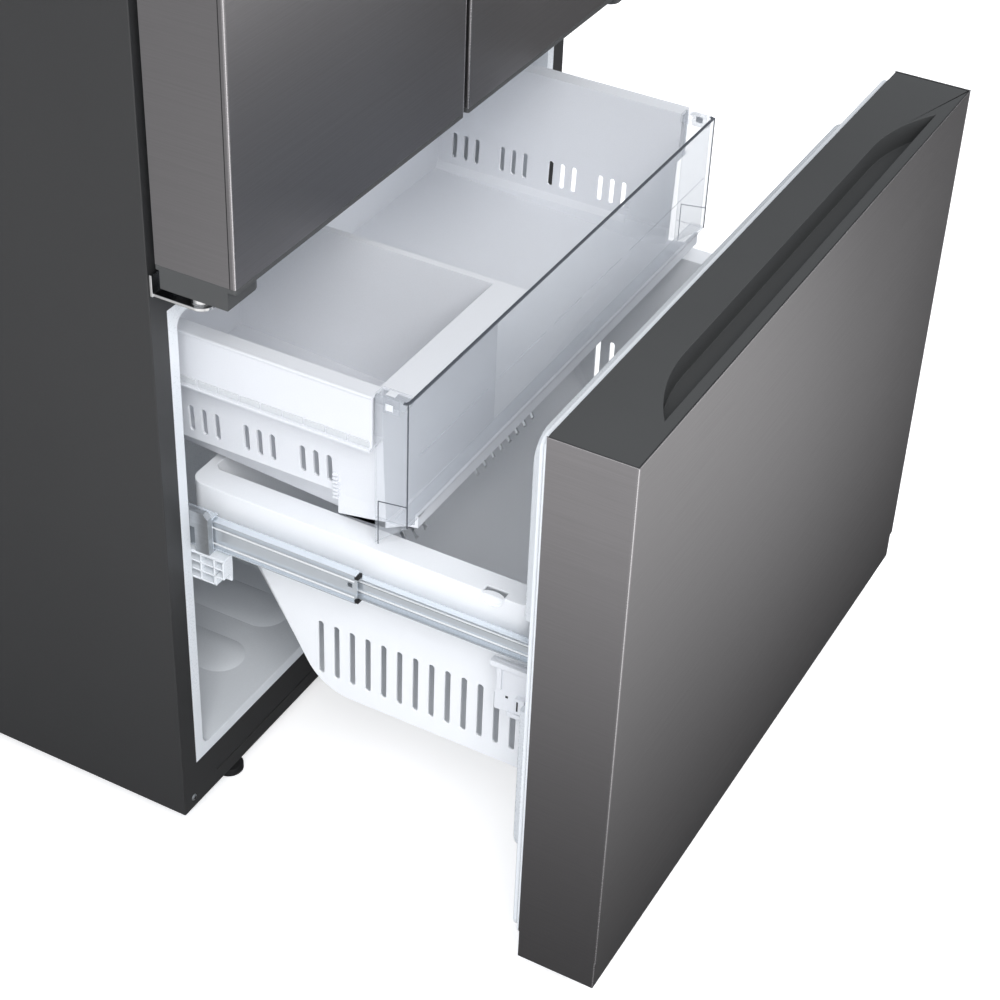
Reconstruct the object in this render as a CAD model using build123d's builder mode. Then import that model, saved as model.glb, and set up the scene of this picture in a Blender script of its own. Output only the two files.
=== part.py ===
from build123d import *
import os
from math import atan2, cos, degrees, pi, radians, tan

os.makedirs("parts", exist_ok=True)

# A French-door refrigerator with a bottom freezer drawer, in millimetres.
# x runs to the right from the middle, y to the back and z up from the floor.
# It stands as it is used with the freezer drawer pulled out and both doors shut.

# Cabinet
cabinet_width = 908
cabinet_height = 1757
cabinet_depth = 640
shell_bottom = 30
sheet = 1.2
panel_bend = 1.2
front_return = 28
rest_gap = 0.3
pin_clearance = 0.3
bore_sides = 12
half = cabinet_width / 2
lip_edge = half - front_return

# Liners and foam
liner_wall = 2.5
liner_lip = 16
liner_corner = 14
opening_half = lip_edge - liner_lip
freezer_floor = 110
freezer_ceiling = 712
freezer_rear = cabinet_depth - 100
step_foot = cabinet_depth - 368
step_shoulder = cabinet_depth - 209
step_top = 385
fridge_floor = freezer_ceiling + 102
fridge_ceiling = cabinet_height - 47
fridge_room = fridge_ceiling - fridge_floor
fridge_rear = cabinet_depth - 68
floor_rib_width = 62
floor_rib_length = 175
floor_rib_height = 2.5
floor_rib_start = 48
floor_rib_parts = (0.16, 0.4, 0.645)

# Machine compartment under the step
deck_thickness = 1.5
deck_foot = step_foot
deck_shoulder = step_shoulder + 23
deck_top = step_top - 40
base_level = 38
base_thickness = 2
base_start = deck_foot + 24
base_flange = 24
compressor_x = half - 264
compressor_y = cabinet_depth - 135
compressor_radius = 78
compressor_height = 168
compressor_foot_depth = 122
dome_height = 62
pot_sides = 24
grommet_height = 12
grommet_radius = 11
condenser_width = 120
condenser_x = condenser_width / 2 + 94 - half
condenser_length = 190
condenser_height = 165
condenser_fin_pitch = 14
evaporator_fin_pitch = 50
fin_depth = 12
fin_thickness = 2
pan_wall = 2
pan_height = 34
pan_draft = 8
machine_fan_x = condenser_x + 150
machine_fan_y = cabinet_depth - 140
machine_fan_z = 136
machine_fan_radius = 72
louvre_length = 92
louvre_height = 6
bead_width = 60
bead_pitch = 250
bead_margin = 90

# Evaporator behind its cover
cover_front = freezer_rear - 74
cover_wall = 3
evaporator_half = opening_half - 160
evaporator_bottom = step_top + 13
evaporator_top = step_top + 181
evaporator_thickness = 50
freezer_fan_z = freezer_ceiling - 70
freezer_fan_radius = 48
fan_hub_radius = 15
fan_blades = 5
blade_thickness = 2
blade_chord = 30
blade_pitch = 32
shaft_radius = 3
motor_radius = 24

# Feet and rollers
foot_radius = 18
foot_height = 11
foot_stem_radius = 6
foot_x = half - 121
foot_y = 21
roller_radius = 17
roller_width = 24
roller_axle_radius = 4
roller_x = half - 54
roller_y = cabinet_depth - 50
roller_cheek = 3

# Doors and drawer front
panel_thickness = 96
gasket_thickness = 11
gasket_width = 16
skin_sheet = 1
skin_bend = 3
door_gap = 10
door_bottom = fridge_floor - 13
door_top = cabinet_height - 11
cap_thickness = 6
hinge_x = half - 19
hinge_y = -52
pin_radius = 5
tab_bottom = door_bottom - 27
tab_inset = 10
tab_length = 60
grip_depth = 24
grip_width = 30
grip_inset = 16
dike_depth = 41
dike_width = 26
dike_corner = 20
dike_hinge_side = opening_half - 12
dike_middle_side = 46
dike_margin = 26
pan_recess = 19
bin_levels = [fridge_floor + part * fridge_room for part in (0.328, 0.57, 0.8)]
bin_height = 104
bin_depth = 122
bin_wall = 2.5
bin_corner = 14
bin_draft = 8
lug_size = 12

# Folding flap that closes the gap between the doors
flap_thickness = 14
flap_width = 65
flap_pivot_x = -31
flap_pivot_y = 8
flap_margin = 6
knuckle_inset = 78
knuckle_height = 8
flap_pin_radius = 2
knuckle_half = 5

# Hinges
drawer_top = door_bottom - 45
arm_level = drawer_top + 2.5
arm_thickness = 3.5
arm_width = 40
washer_radius = 11
washer_height = 8
hinge_plate_height = 36
top_plate_length = 84
cover_height = 24

# Freezer drawer
drawer_travel = 442
drawer_bottom = 42.4
bottom_cap_height = 42
bottom_cap_inset = 2
handle_cap_height = 11
recess_half = half - 83
recess_straight = recess_half - 119
recess_front_inset = 14.5
recess_width = 34
recess_depth = 30
recess_wall = 2
drawer_dike_half = opening_half - 12
drawer_dike_bottom = freezer_floor + 58
drawer_dike_top = freezer_ceiling - 12
drawer_dike_corner = 25
drawer_dike_depth = 28
drawer_pad_recess = 10
drawer_gasket_half = half - 14
drawer_gasket_bottom = freezer_floor - liner_lip - 11
drawer_gasket_top = drawer_top - 15

# Telescopic slides; their front ends stand out of the cabinet, in pockets of the shut drawer
slide_level = 431
slide_back_x = opening_half - 8
slide_width = 12.7
outer_height = 45.6
middle_height = 38.6
inner_height = 29
slide_sheet = 1.4
raceway_depth = 2.6
outer_start = -24
outer_length = cover_front - 8 - outer_start
middle_start = 12
middle_length = 450
inner_start = 25
inner_length = 430
inner_holes = (17, 31, 42)
inner_hole_radius = 2.8
cage_length = 110
cage_start = 40
cage_rear = 60
rail_thickness = 2
rail_ledge = 20
rail_lip = 12
rail_drop = 45
bracket_half_height = 32
bracket_length = 28
support_height = 40
support_start = -44
support_length = 70
support_slope = 16
support_rib = 2.5
pocket_clearance = 4

# Basket, in the drawer
basket_half = opening_half - 60
basket_wall = 3
basket_bottom = 207
basket_top = 500
basket_corner = 18
skirt_level = 433
basket_front = 36
basket_rear = cover_front - 11
basket_foot = basket_rear - 138
basket_lean = 0.55
basket_shoulder = basket_rear - 8
basket_heel = 75
basket_edge = 9
slot_width = 7
slot_chamfer = 2.2
basket_slots = 13
basket_slot_pitch = 20.8
basket_slot_low = 240
basket_slot_high = 317
basket_slot_start = 62
rear_slot_pitch = 21.5
rear_slots = 8
rear_slot_low = 252
rear_slot_high = 278
rear_slot_start = 66
scoop_radius = 13
scoop_y = 77

# Upper tray: a tub on the left, an open tray with a clear front beside it
tray_travel = 280
tray_front_edge = 63
tray_rear = cover_front - 56
tray_rim_half = opening_half - 30
tray_top_half = opening_half - 48
tray_floor_half = opening_half - 58
tray_bottom = 503
tray_top = 673
tray_wall = 3
tray_edge = 10
divider_part = 0.344
divider_width = 9
divider_wall = 2.5
foot_block = 60
runner_level = 606
runner_thickness = 3
runner_edge = opening_half - 25
ledge_edge = opening_half - 40
ledge_height = 10
ledge_start = 20
ledge_length = cover_front - 22 - ledge_start
tray_slot_pitch = 17
tray_group_pitch = 72.5
tray_groups = 4
tray_slots_in_group = 3
tray_slot_low = 524
tray_slot_high = 559
tray_slot_start = 132
clear_front = 23
clear_wall = 4
clear_bottom = 519

# Fridge fittings
crisper_height = 246
crisper_front = 136
crisper_rear = fridge_rear - 16
crisper_wall = 3
crisper_draft = 10
crisper_side_gap = 9
crisper_middle_gap = 6
glass_thickness = 4
cover_level = fridge_floor + crisper_height + 15
shelf_room = fridge_ceiling - cover_level
shelf_levels = [cover_level + part * shelf_room for part in (0.33, 0.663)]
shelf_front = 152
shelf_rear = fridge_rear - 24
shelf_half_gap = 7
shelf_margin = 10
arm_drop = 34
track_places = (shelf_half_gap + 17, opening_half - 32)
track_width = 16
track_margin = 60
duct_half = 150
duct_depth = 15

panel_front = -(panel_thickness + gasket_thickness)
panel_back = -gasket_thickness
# The drawer reaches as far forward of the middle of the depth as the back lies behind it.
cabinet_front_y = (panel_thickness + gasket_thickness + drawer_travel - cabinet_depth) / 2


def level(z):
    """Horizontal plane: x across, y back from the cabinet's front."""
    return Plane(origin=(0, cabinet_front_y, z), x_dir=(1, 0, 0), z_dir=(0, 0, 1))


def upright(y):
    """Plane across the cabinet that faces forward: x across, z up."""
    return Plane(origin=(0, cabinet_front_y + y, 0), x_dir=(1, 0, 0), z_dir=(0, -1, 0))


def section(x):
    """Side view plane that faces right: y back, z up."""
    return Plane(origin=(x, cabinet_front_y, 0), x_dir=(0, 1, 0), z_dir=(1, 0, 0))


def rectangle(a0, a1, b0, b1, radius=0, mode=Mode.ADD):
    """Rectangle between two corners of a sketch."""
    with Locations(((a0 + a1) / 2, (b0 + b1) / 2)):
        if radius:
            RectangleRounded(a1 - a0, b1 - b0, radius, mode=mode)
        else:
            Rectangle(a1 - a0, b1 - b0, mode=mode)


def span(side, near, far):
    """Stretch of x from near to far of the middle, on the left (-1) or right (1)."""
    return sorted((side * near, side * far))


def keep(piece, name):
    """Label a finished piece and write it as a STEP file."""
    piece.label = name
    export_step(piece, f"parts/{name}.step")


def bore_polygon(radius, mode=Mode.ADD):
    """Many-sided bore that clears a round pin of a radius."""
    RegularPolygon((radius + pin_clearance) / cos(pi / bore_sides), bore_sides, mode=mode)


def tub(x0, x1, y0, y1, floor, height, wall, draft):
    """Open tub whose sides lean out by a draft from its floor to its rim."""
    with BuildPart() as made:
        for inset, mode in ((0, Mode.ADD), (wall, Mode.SUBTRACT)):
            with BuildSketch(upright(y0 + inset)):
                with BuildLine():
                    Polyline(
                        (x0 + draft + inset, floor + inset),
                        (x1 - draft - inset, floor + inset),
                        (x1 - inset, floor + height),
                        (x0 + inset, floor + height),
                        close=True,
                    )
                make_face()
            extrude(amount=y0 - y1 + 2 * inset, mode=mode)
    return made.part


def mirrored(piece):
    """The same piece for the other side of the middle."""
    with BuildPart() as other:
        mirror(piece, about=Plane.YZ)
    return other.part


# Steel shell
with BuildPart() as side_panel:
    with BuildSketch(level(shell_bottom)) as channel:
        rectangle(-half, -lip_edge, 0, cabinet_depth)
        rectangle(-half + sheet, 0, sheet, cabinet_depth - sheet, mode=Mode.SUBTRACT)
        fillet(channel.vertices().group_by(Axis.X)[0], radius=panel_bend)
    extrude(amount=cabinet_height - shell_bottom)
keep(side_panel.part, "side_panel_left")
keep(mirrored(side_panel.part), "side_panel_right")

with BuildPart() as top_panel:
    with BuildSketch(level(cabinet_height)):
        rectangle(-half, half, 0, cabinet_depth)
    extrude(amount=sheet)
    with BuildSketch(upright(0)):
        rectangle(-lip_edge, lip_edge, fridge_ceiling + liner_lip, cabinet_height)
    extrude(amount=-sheet)
keep(top_panel.part, "top_panel")

back_inside = cabinet_depth - 2 * sheet
bead_half_length = (cabinet_height - deck_top) / 2 - bead_margin
with BuildPart() as back_panel:
    with BuildSketch(upright(back_inside)):
        rectangle(-half + sheet, half - sheet, deck_top + deck_thickness, cabinet_height)
    extrude(amount=-sheet)
    with BuildSketch(upright(back_inside + sheet)):
        with Locations((0, (deck_top + cabinet_height) / 2)):
            with GridLocations(bead_pitch, 0, 3, 1):
                Rectangle(bead_width, 2 * bead_half_length)
    extrude(amount=-sheet, taper=20)
keep(back_panel.part, "back_panel")

deck_slope = atan2(deck_top - shell_bottom, deck_shoulder - deck_foot)


def deck_line(rise):
    """Side outline of the deck, raised by a thickness and mitred at its two bends."""
    shift = rise * tan(deck_slope / 2)
    return [
        (liner_wall, shell_bottom + rise),
        (deck_foot - shift, shell_bottom + rise),
        (deck_shoulder - shift, deck_top + rise),
        (back_inside, deck_top + rise),
    ]


with BuildPart() as base_deck:
    with BuildSketch(section(-half + sheet)):
        with BuildLine():
            Polyline(*deck_line(0), *reversed(deck_line(deck_thickness)), close=True)
        make_face()
    extrude(amount=cabinet_width - 2 * sheet)
keep(base_deck.part, "base_deck")

with BuildPart() as kick_rail:
    with BuildSketch(upright(0)):
        rectangle(-lip_edge, lip_edge, shell_bottom, freezer_floor - liner_lip)
    extrude(amount=-liner_wall)
    with BuildSketch(upright(0)):
        rectangle(-lip_edge + 40, lip_edge - 40, shell_bottom + 20, freezer_floor - liner_lip - 16)
    extrude(amount=-sheet, mode=Mode.SUBTRACT)
keep(kick_rail.part, "kick_rail")

with BuildPart() as center_rail:
    with BuildSketch(upright(0)):
        rectangle(-lip_edge, lip_edge, freezer_ceiling + liner_lip, fridge_floor - liner_lip)
    extrude(amount=-liner_wall)
    with BuildSketch(upright(0)):
        rail_middle = (freezer_ceiling + fridge_floor) / 2
        rectangle(-lip_edge + 60, lip_edge - 60, rail_middle - 12, rail_middle + 12)
    extrude(amount=-sheet, mode=Mode.SUBTRACT)
keep(center_rail.part, "center_rail")


def cavity(floor, ceiling, outline, grow):
    """Room in a liner, grown by a wall: its front view crossed with its side view."""
    with BuildPart() as room:
        with BuildSketch(upright(0)):
            rectangle(
                -opening_half - grow, opening_half + grow, floor - grow, ceiling + grow, liner_corner + grow
            )
        extrude(amount=-cabinet_depth)
        with BuildSketch(section(-half)):
            with BuildLine():
                Polyline(*outline, close=True)
            make_face()
            if grow:
                offset(amount=grow, kind=Kind.INTERSECTION)
        extrude(amount=cabinet_width, mode=Mode.INTERSECT)
    return room.part


freezer_outline = [
    (-panel_thickness, freezer_floor),
    (step_foot, freezer_floor),
    (step_shoulder, step_top),
    (freezer_rear, step_top),
    (freezer_rear, freezer_ceiling),
    (-panel_thickness, freezer_ceiling),
]
fridge_outline = [
    (-panel_thickness, fridge_floor),
    (fridge_rear, fridge_floor),
    (fridge_rear, fridge_ceiling),
    (-panel_thickness, fridge_ceiling),
]
freezer_space = cavity(freezer_floor, freezer_ceiling, freezer_outline, 0)
freezer_outside = cavity(freezer_floor, freezer_ceiling, freezer_outline, liner_wall)
fridge_space = cavity(fridge_floor, fridge_ceiling, fridge_outline, 0)
fridge_outside = cavity(fridge_floor, fridge_ceiling, fridge_outline, liner_wall)

with BuildPart() as insulation:
    with BuildSketch(section(-half + sheet)):
        with BuildLine():
            Polyline(
                *deck_line(deck_thickness),
                (back_inside, cabinet_height),
                (liner_wall, cabinet_height),
                close=True,
            )
        make_face()
    extrude(amount=cabinet_width - 2 * sheet)
    add(freezer_outside, mode=Mode.SUBTRACT)
    add(fridge_outside, mode=Mode.SUBTRACT)
keep(insulation.part, "insulation")

# Freezer liner, with the ledges that carry the tray and the raised ribs of its floor
with BuildPart() as freezer_liner:
    add(freezer_outside)
    with BuildSketch(upright(0)):
        rectangle(-lip_edge, lip_edge, freezer_floor - liner_lip, freezer_ceiling + liner_lip)
    extrude(amount=-liner_wall)
    add(freezer_space, mode=Mode.SUBTRACT)
    for side in (-1, 1):
        with BuildSketch(upright(ledge_start)):
            rectangle(*span(side, ledge_edge, opening_half), runner_level - ledge_height, runner_level)
        extrude(amount=-ledge_length)
    with BuildSketch(level(freezer_floor)) as ribs:
        for part in floor_rib_parts:
            for side in (-1, 1):
                place = side * part * opening_half
                with Locations((place, floor_rib_start + floor_rib_length / 2)):
                    Rectangle(floor_rib_width, floor_rib_length)
        chamfer(ribs.vertices(), length=floor_rib_width * 0.3)
    extrude(amount=floor_rib_height)
keep(freezer_liner.part, "freezer_liner")

# Fridge liner, with the ledges under the crisper cover
with BuildPart() as fridge_liner:
    add(fridge_outside)
    with BuildSketch(upright(0)):
        rectangle(-lip_edge, lip_edge, fridge_floor - liner_lip, fridge_ceiling + liner_lip)
    extrude(amount=-liner_wall)
    add(fridge_space, mode=Mode.SUBTRACT)
    for side in (-1, 1):
        with BuildSketch(upright(crisper_front - 8)):
            rectangle(*span(side, opening_half - 12, opening_half), cover_level - 9, cover_level)
        extrude(amount=-(fridge_rear - crisper_front - 20))
keep(fridge_liner.part, "fridge_liner")

# Evaporator, its cover and its fan
with BuildPart() as evaporator_cover:
    with BuildSketch(upright(cover_front)):
        rectangle(-opening_half + 1, opening_half - 1, step_top, freezer_ceiling - liner_corner)
    extrude(amount=-(freezer_rear - cover_front))
    with BuildSketch(upright(cover_front + cover_wall)):
        rectangle(
            -opening_half + 1 + cover_wall,
            opening_half - 1 - cover_wall,
            step_top + cover_wall,
            freezer_ceiling - liner_corner - cover_wall,
        )
    extrude(amount=-(freezer_rear - cover_front), mode=Mode.SUBTRACT)
    with BuildSketch(upright(cover_front)):
        with Locations((0, freezer_fan_z)):
            with GridLocations(0, 16, 1, 5):
                Rectangle(100, 7)
        with Locations((0, step_top + 24)):
            with GridLocations(60, 0, 9, 1):
                Rectangle(44, 8)
    extrude(amount=-cover_wall, mode=Mode.SUBTRACT)
keep(evaporator_cover.part, "evaporator_cover")


def finned_block(plane, length, height, thickness, pitch):
    """Finned core: a slab with fins cut along both faces."""
    fins = int(length // pitch)
    with BuildPart() as block:
        with BuildSketch(plane):
            Rectangle(length, thickness)
            with GridLocations(pitch, 0, fins, 1):
                with Locations((0, thickness / 2), (0, -thickness / 2)):
                    Rectangle(pitch - fin_thickness, 2 * fin_depth, mode=Mode.SUBTRACT)
        extrude(amount=height)
    return block.part


evaporator_seat = Plane(
    origin=(0, cabinet_front_y + freezer_rear - evaporator_thickness / 2, evaporator_bottom),
    x_dir=(1, 0, 0),
    z_dir=(0, 0, 1),
)
evaporator_height = evaporator_top - evaporator_bottom
evaporator_middle = (freezer_rear - evaporator_thickness / 2, evaporator_bottom + evaporator_height / 2)
evaporator_size = (2 * evaporator_half, evaporator_height, evaporator_thickness)
with BuildPart() as evaporator:
    add(finned_block(evaporator_seat, *evaporator_size, evaporator_fin_pitch))
    for side in (-1, 1):
        with BuildSketch(section(side * evaporator_half)):
            with Locations(evaporator_middle):
                Rectangle(evaporator_thickness, evaporator_height)
        extrude(amount=side * 2)
        with BuildSketch(section(side * (evaporator_half + 2))):
            with Locations(evaporator_middle):
                with GridLocations(0, 40, 1, 4):
                    Rectangle(32, 8)
        extrude(amount=side * 14)
keep(evaporator.part, "evaporator")


hub_half = blade_chord * 0.31


def fan(plane, radius):
    """Axial fan: a hub with a bore for its shaft and pitched blades cut to a circle."""
    rear = plane.offset(-hub_half)
    hub_length = 2 * hub_half
    with BuildPart() as rotor:
        with BuildSketch(rear):
            RegularPolygon(fan_hub_radius, 15)
        extrude(amount=hub_length)
        for blade in range(fan_blades):
            outward = plane.x_dir.rotate(Axis((0, 0, 0), plane.z_dir), blade * 360 / fan_blades)
            root = Plane(
                origin=plane.origin + outward * (fan_hub_radius - 3),
                x_dir=plane.z_dir.cross(outward),
                z_dir=outward,
            )
            with BuildSketch(root):
                with BuildLine():
                    Polyline(*blade_outline(), close=True)
                make_face()
            extrude(amount=radius - fan_hub_radius + 3)
        with BuildSketch(rear):
            bore_polygon(shaft_radius)
        extrude(amount=hub_length / 2, mode=Mode.SUBTRACT)
    return rotor.part


def blade_outline():
    """Section of a blade: a bent strip that leans by the pitch."""
    lean = tan(radians(blade_pitch))
    wide = blade_chord / 2
    deep = wide * lean * 0.9
    return [
        (-wide, -deep),
        (-wide / 3, -deep * 0.2),
        (wide, deep * 0.8),
        (wide, deep * 0.8 + blade_thickness * 1.3),
        (-wide / 3, -deep * 0.2 + blade_thickness * 1.3),
        (-wide, -deep + blade_thickness * 1.3),
    ]


freezer_fan_y = cover_front + cover_wall + 26
freezer_fan_plane = Plane(
    origin=(0, cabinet_front_y + freezer_fan_y, freezer_fan_z), x_dir=(1, 0, 0), z_dir=(0, -1, 0)
)
evaporator_fan = fan(freezer_fan_plane, freezer_fan_radius)
keep(evaporator_fan, "evaporator_fan")

machine_fan_plane = Plane(
    origin=(machine_fan_x, cabinet_front_y + machine_fan_y, machine_fan_z), x_dir=(0, 1, 0), z_dir=(1, 0, 0)
)
condenser_fan = fan(machine_fan_plane, machine_fan_radius)
keep(condenser_fan, "condenser_fan")

base_top = base_level + base_thickness
with BuildPart() as fan_motors:
    # Freezer fan motor on the rear wall, with its shaft in the fan's hub
    with BuildSketch(upright(freezer_rear)):
        with Locations((0, freezer_fan_z)):
            RegularPolygon(motor_radius, 16)
            Rectangle(96, 16)
    extrude(amount=freezer_rear - freezer_fan_y - hub_half - rest_gap)
    with BuildSketch(upright(freezer_fan_y + hub_half + 1)):
        with Locations((0, freezer_fan_z)):
            Circle(shaft_radius)
    extrude(amount=hub_half)
    # Machine fan motor on a stand, left of its fan
    with BuildSketch(section(machine_fan_x - hub_half - rest_gap)):
        with Locations((machine_fan_y, machine_fan_z)):
            RegularPolygon(motor_radius, 16)
        rectangle(machine_fan_y - 20, machine_fan_y + 20, base_top, machine_fan_z)
    extrude(amount=-26)
    with BuildSketch(section(machine_fan_x - hub_half - 1)):
        with Locations((machine_fan_y, machine_fan_z)):
            Circle(shaft_radius)
    extrude(amount=hub_half)
keep(fan_motors.part, "fan_motors")

# Machine compartment
with BuildPart() as compressor_base:
    with BuildSketch(level(base_level)):
        rectangle(-half + sheet, half - sheet, base_start, back_inside)
    extrude(amount=base_thickness)
    for side in (-1, 1):
        with BuildSketch(level(base_top)):
            rectangle(*span(side, half - sheet - base_thickness, half - sheet), base_start, back_inside)
        extrude(amount=base_flange)
        for cheek in (-1, 1):
            inner = roller_x + cheek * (roller_width / 2 + 1)
            with BuildSketch(section(side * inner)):
                with Locations((roller_y, roller_radius + 3)):
                    Trapezoid(44, 2 * (base_level - roller_radius - 3), 70, rotation=180)
                with Locations((roller_y, roller_radius)):
                    bore_polygon(roller_axle_radius, mode=Mode.SUBTRACT)
            extrude(amount=side * cheek * roller_cheek)
keep(compressor_base.part, "compressor_base")

with BuildPart() as rear_rollers:
    for side in (-1, 1):
        with BuildSketch(section(side * (roller_x - roller_width / 2))):
            with Locations((roller_y, roller_radius)):
                Circle(roller_radius)
        extrude(amount=side * roller_width)
        with BuildSketch(section(side * (roller_x - roller_width / 2 - 5))):
            with Locations((roller_y, roller_radius)):
                Circle(roller_axle_radius)
        extrude(amount=side * (roller_width + 10))
keep(rear_rollers.part, "rear_rollers")

with BuildPart() as levelling_feet:
    for side in (-1, 1):
        with BuildSketch(level(0)):
            with Locations((side * foot_x, foot_y)):
                RegularPolygon(foot_radius, 20)
        extrude(amount=foot_height, taper=8)
        with BuildSketch(level(foot_height)):
            with Locations((side * foot_x, foot_y)):
                RegularPolygon(foot_stem_radius, 8)
        extrude(amount=shell_bottom - foot_height)
keep(levelling_feet.part, "levelling_feet")

compressor_plane = Plane(
    origin=(compressor_x, cabinet_front_y + compressor_y, base_top), x_dir=(1, 0, 0), z_dir=(0, 0, 1)
)
pot_foot = grommet_height + 3
pot_waist = grommet_height + 38
pot_crown = grommet_height + compressor_height
pot_shoulder = pot_crown - dome_height
pot_brow = pot_crown - dome_height * 0.35
with BuildPart() as compressor:
    with BuildSketch(compressor_plane):
        with GridLocations(2 * compressor_radius - 10, 90, 2, 2):
            RegularPolygon(grommet_radius, 8)
    extrude(amount=grommet_height)
    with BuildSketch(compressor_plane.offset(grommet_height)):
        Rectangle(2 * compressor_radius + 20, compressor_foot_depth)
    extrude(amount=3)
    # Steel pot: the lower shell stands inside the upper one, whose crown closes in two rings
    for low, high, wide, narrow in (
        (pot_foot, pot_waist, 0.96, 0.96),
        (pot_waist, pot_shoulder, 1, 1),
        (pot_shoulder, pot_brow, 1, 0.84),
        (pot_brow, pot_crown, 0.84, 0.42),
    ):
        shrink = compressor_radius * (wide - narrow) * cos(pi / pot_sides)
        with BuildSketch(compressor_plane.offset(low)):
            RegularPolygon(compressor_radius * wide, pot_sides)
        extrude(amount=high - low, taper=degrees(atan2(shrink, high - low)))
    # Terminal cover on the pot's side
    with BuildSketch(Plane(compressor_plane.origin, x_dir=(1, 0, 0), z_dir=(0, 1, 0))):
        with Locations((0, -(pot_waist + 32))):
            Rectangle(52, 62)
    extrude(amount=compressor_radius + 18)
keep(compressor.part, "compressor")

condenser_plane = Plane(
    origin=(condenser_x, cabinet_front_y + machine_fan_y, base_top), x_dir=(0, 1, 0), z_dir=(0, 0, 1)
)
condenser_size = (condenser_length, condenser_height, condenser_width)
condenser = finned_block(condenser_plane, *condenser_size, condenser_fin_pitch)
keep(condenser, "condenser")

pan_length = condenser_length + 4
pan_width = condenser_width + 70
pan_floor = base_top + condenser_height
drip_pan = tub(
    condenser_x - pan_width / 2,
    condenser_x + pan_width / 2,
    machine_fan_y - pan_length / 2,
    machine_fan_y + pan_length / 2,
    pan_floor,
    pan_height,
    pan_wall,
    pan_draft,
)
keep(drip_pan, "drip_pan")

with BuildPart() as machine_cover:
    with BuildSketch(upright(back_inside)):
        rectangle(-half + sheet, half - sheet, base_top + base_flange, deck_top)
        with Locations((0, (base_top + base_flange + deck_top) / 2)):
            with GridLocations(louvre_length + 44, 46, 5, 4):
                Rectangle(louvre_length, louvre_height, mode=Mode.SUBTRACT)
    extrude(amount=-sheet)
keep(machine_cover.part, "machine_cover")

# Doors
door_edge = door_gap / 2


def door_outline(inset, back=panel_back):
    """Plan of the left door, inside its skin by an inset, with rounded front corners."""
    with BuildSketch(Plane.XY, mode=Mode.PRIVATE) as plan:
        rectangle(-half + inset, -door_edge - inset, panel_front + inset, back)
        fillet(plan.vertices().group_by(Axis.Y)[0], radius=skin_bend - inset)
    return plan.sketch


def grip(base, height):
    """Finger groove along the door's lower edge."""
    with BuildSketch(level(base)) as groove:
        rectangle(
            -half + tab_length + 6,
            -door_edge - grip_inset,
            panel_front + grip_inset,
            panel_front + grip_inset + grip_width,
        )
    extrude(groove.sketch, amount=height, mode=Mode.SUBTRACT)


def pin_bore(base, height):
    """Bore for a hinge pin."""
    with BuildSketch(level(base)) as bore:
        with Locations((-hinge_x, hinge_y)):
            bore_polygon(pin_radius)
    extrude(bore.sketch, amount=height, mode=Mode.SUBTRACT)


with BuildPart() as door_skin:
    with BuildSketch(level(door_bottom)):
        add(door_outline(0))
        add(door_outline(skin_sheet, 0), mode=Mode.SUBTRACT)
    extrude(amount=door_top - door_bottom)

with BuildPart() as door_cap_top:
    with BuildSketch(level(door_top)):
        add(door_outline(0))
    extrude(amount=cap_thickness)
    pin_bore(door_top, cap_thickness)

tab_top = door_bottom - cap_thickness
with BuildPart() as door_cap_bottom:
    with BuildSketch(level(tab_top)):
        add(door_outline(0))
    extrude(amount=cap_thickness)
    # Tab that hides the hinge, rounded where it ends
    with BuildSketch(level(tab_bottom)) as tab:
        rectangle(-half, -half + tab_length, panel_front + tab_inset, panel_back - 4)
        fillet(tab.vertices().group_by(Axis.X)[-1], radius=14)
    extrude(amount=tab_top - tab_bottom)
    pin_bore(tab_bottom, door_bottom - tab_bottom)
    grip(tab_top, cap_thickness)

dike_low = door_bottom + dike_margin
dike_high = door_top - dike_margin - 20
knuckle_levels = (dike_low + knuckle_inset, (dike_low + dike_high) / 2, dike_high - knuckle_inset)
ring_low = dike_low + dike_width
ring_high = dike_high - dike_width
ring_left = -dike_hinge_side + dike_width
ring_right = -dike_middle_side - dike_width


def door_liner(with_knuckles):
    """Foam-filled inner door: the block in the skin, a raised ring and the bins' lugs."""
    with BuildPart() as liner:
        with BuildSketch(level(door_bottom)):
            add(door_outline(skin_sheet))
        extrude(amount=door_top - door_bottom)
        with BuildSketch(upright(panel_back)):
            rectangle(-dike_hinge_side, -dike_middle_side, dike_low, dike_high, dike_corner)
        extrude(amount=-dike_depth)
        with BuildSketch(upright(panel_back - pan_recess)):
            rectangle(ring_left, ring_right, ring_low, ring_high, dike_corner / 2)
        extrude(amount=-dike_depth - pan_recess, mode=Mode.SUBTRACT)
        for shelf in bin_levels:
            with BuildSketch(upright(panel_back - pan_recess)):
                rectangle(ring_left, ring_left + lug_size, shelf - lug_size, shelf)
                rectangle(ring_right - lug_size, ring_right, shelf - lug_size, shelf)
            extrude(amount=-dike_depth)
        grip(door_bottom, grip_depth - cap_thickness)
        pin_bore(door_top - 2 * pin_radius, 2 * pin_radius)
        if with_knuckles:
            for knuckle in knuckle_levels:
                with BuildSketch(level(knuckle)):
                    rectangle(
                        -dike_middle_side,
                        flap_pivot_x + knuckle_half,
                        flap_pivot_y - knuckle_half,
                        flap_pivot_y + knuckle_half,
                    )
                    with Locations((flap_pivot_x, flap_pivot_y)):
                        bore_polygon(flap_pin_radius, mode=Mode.SUBTRACT)
                extrude(amount=knuckle_height)
    return liner.part


gasket_outer = half - 17


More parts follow.
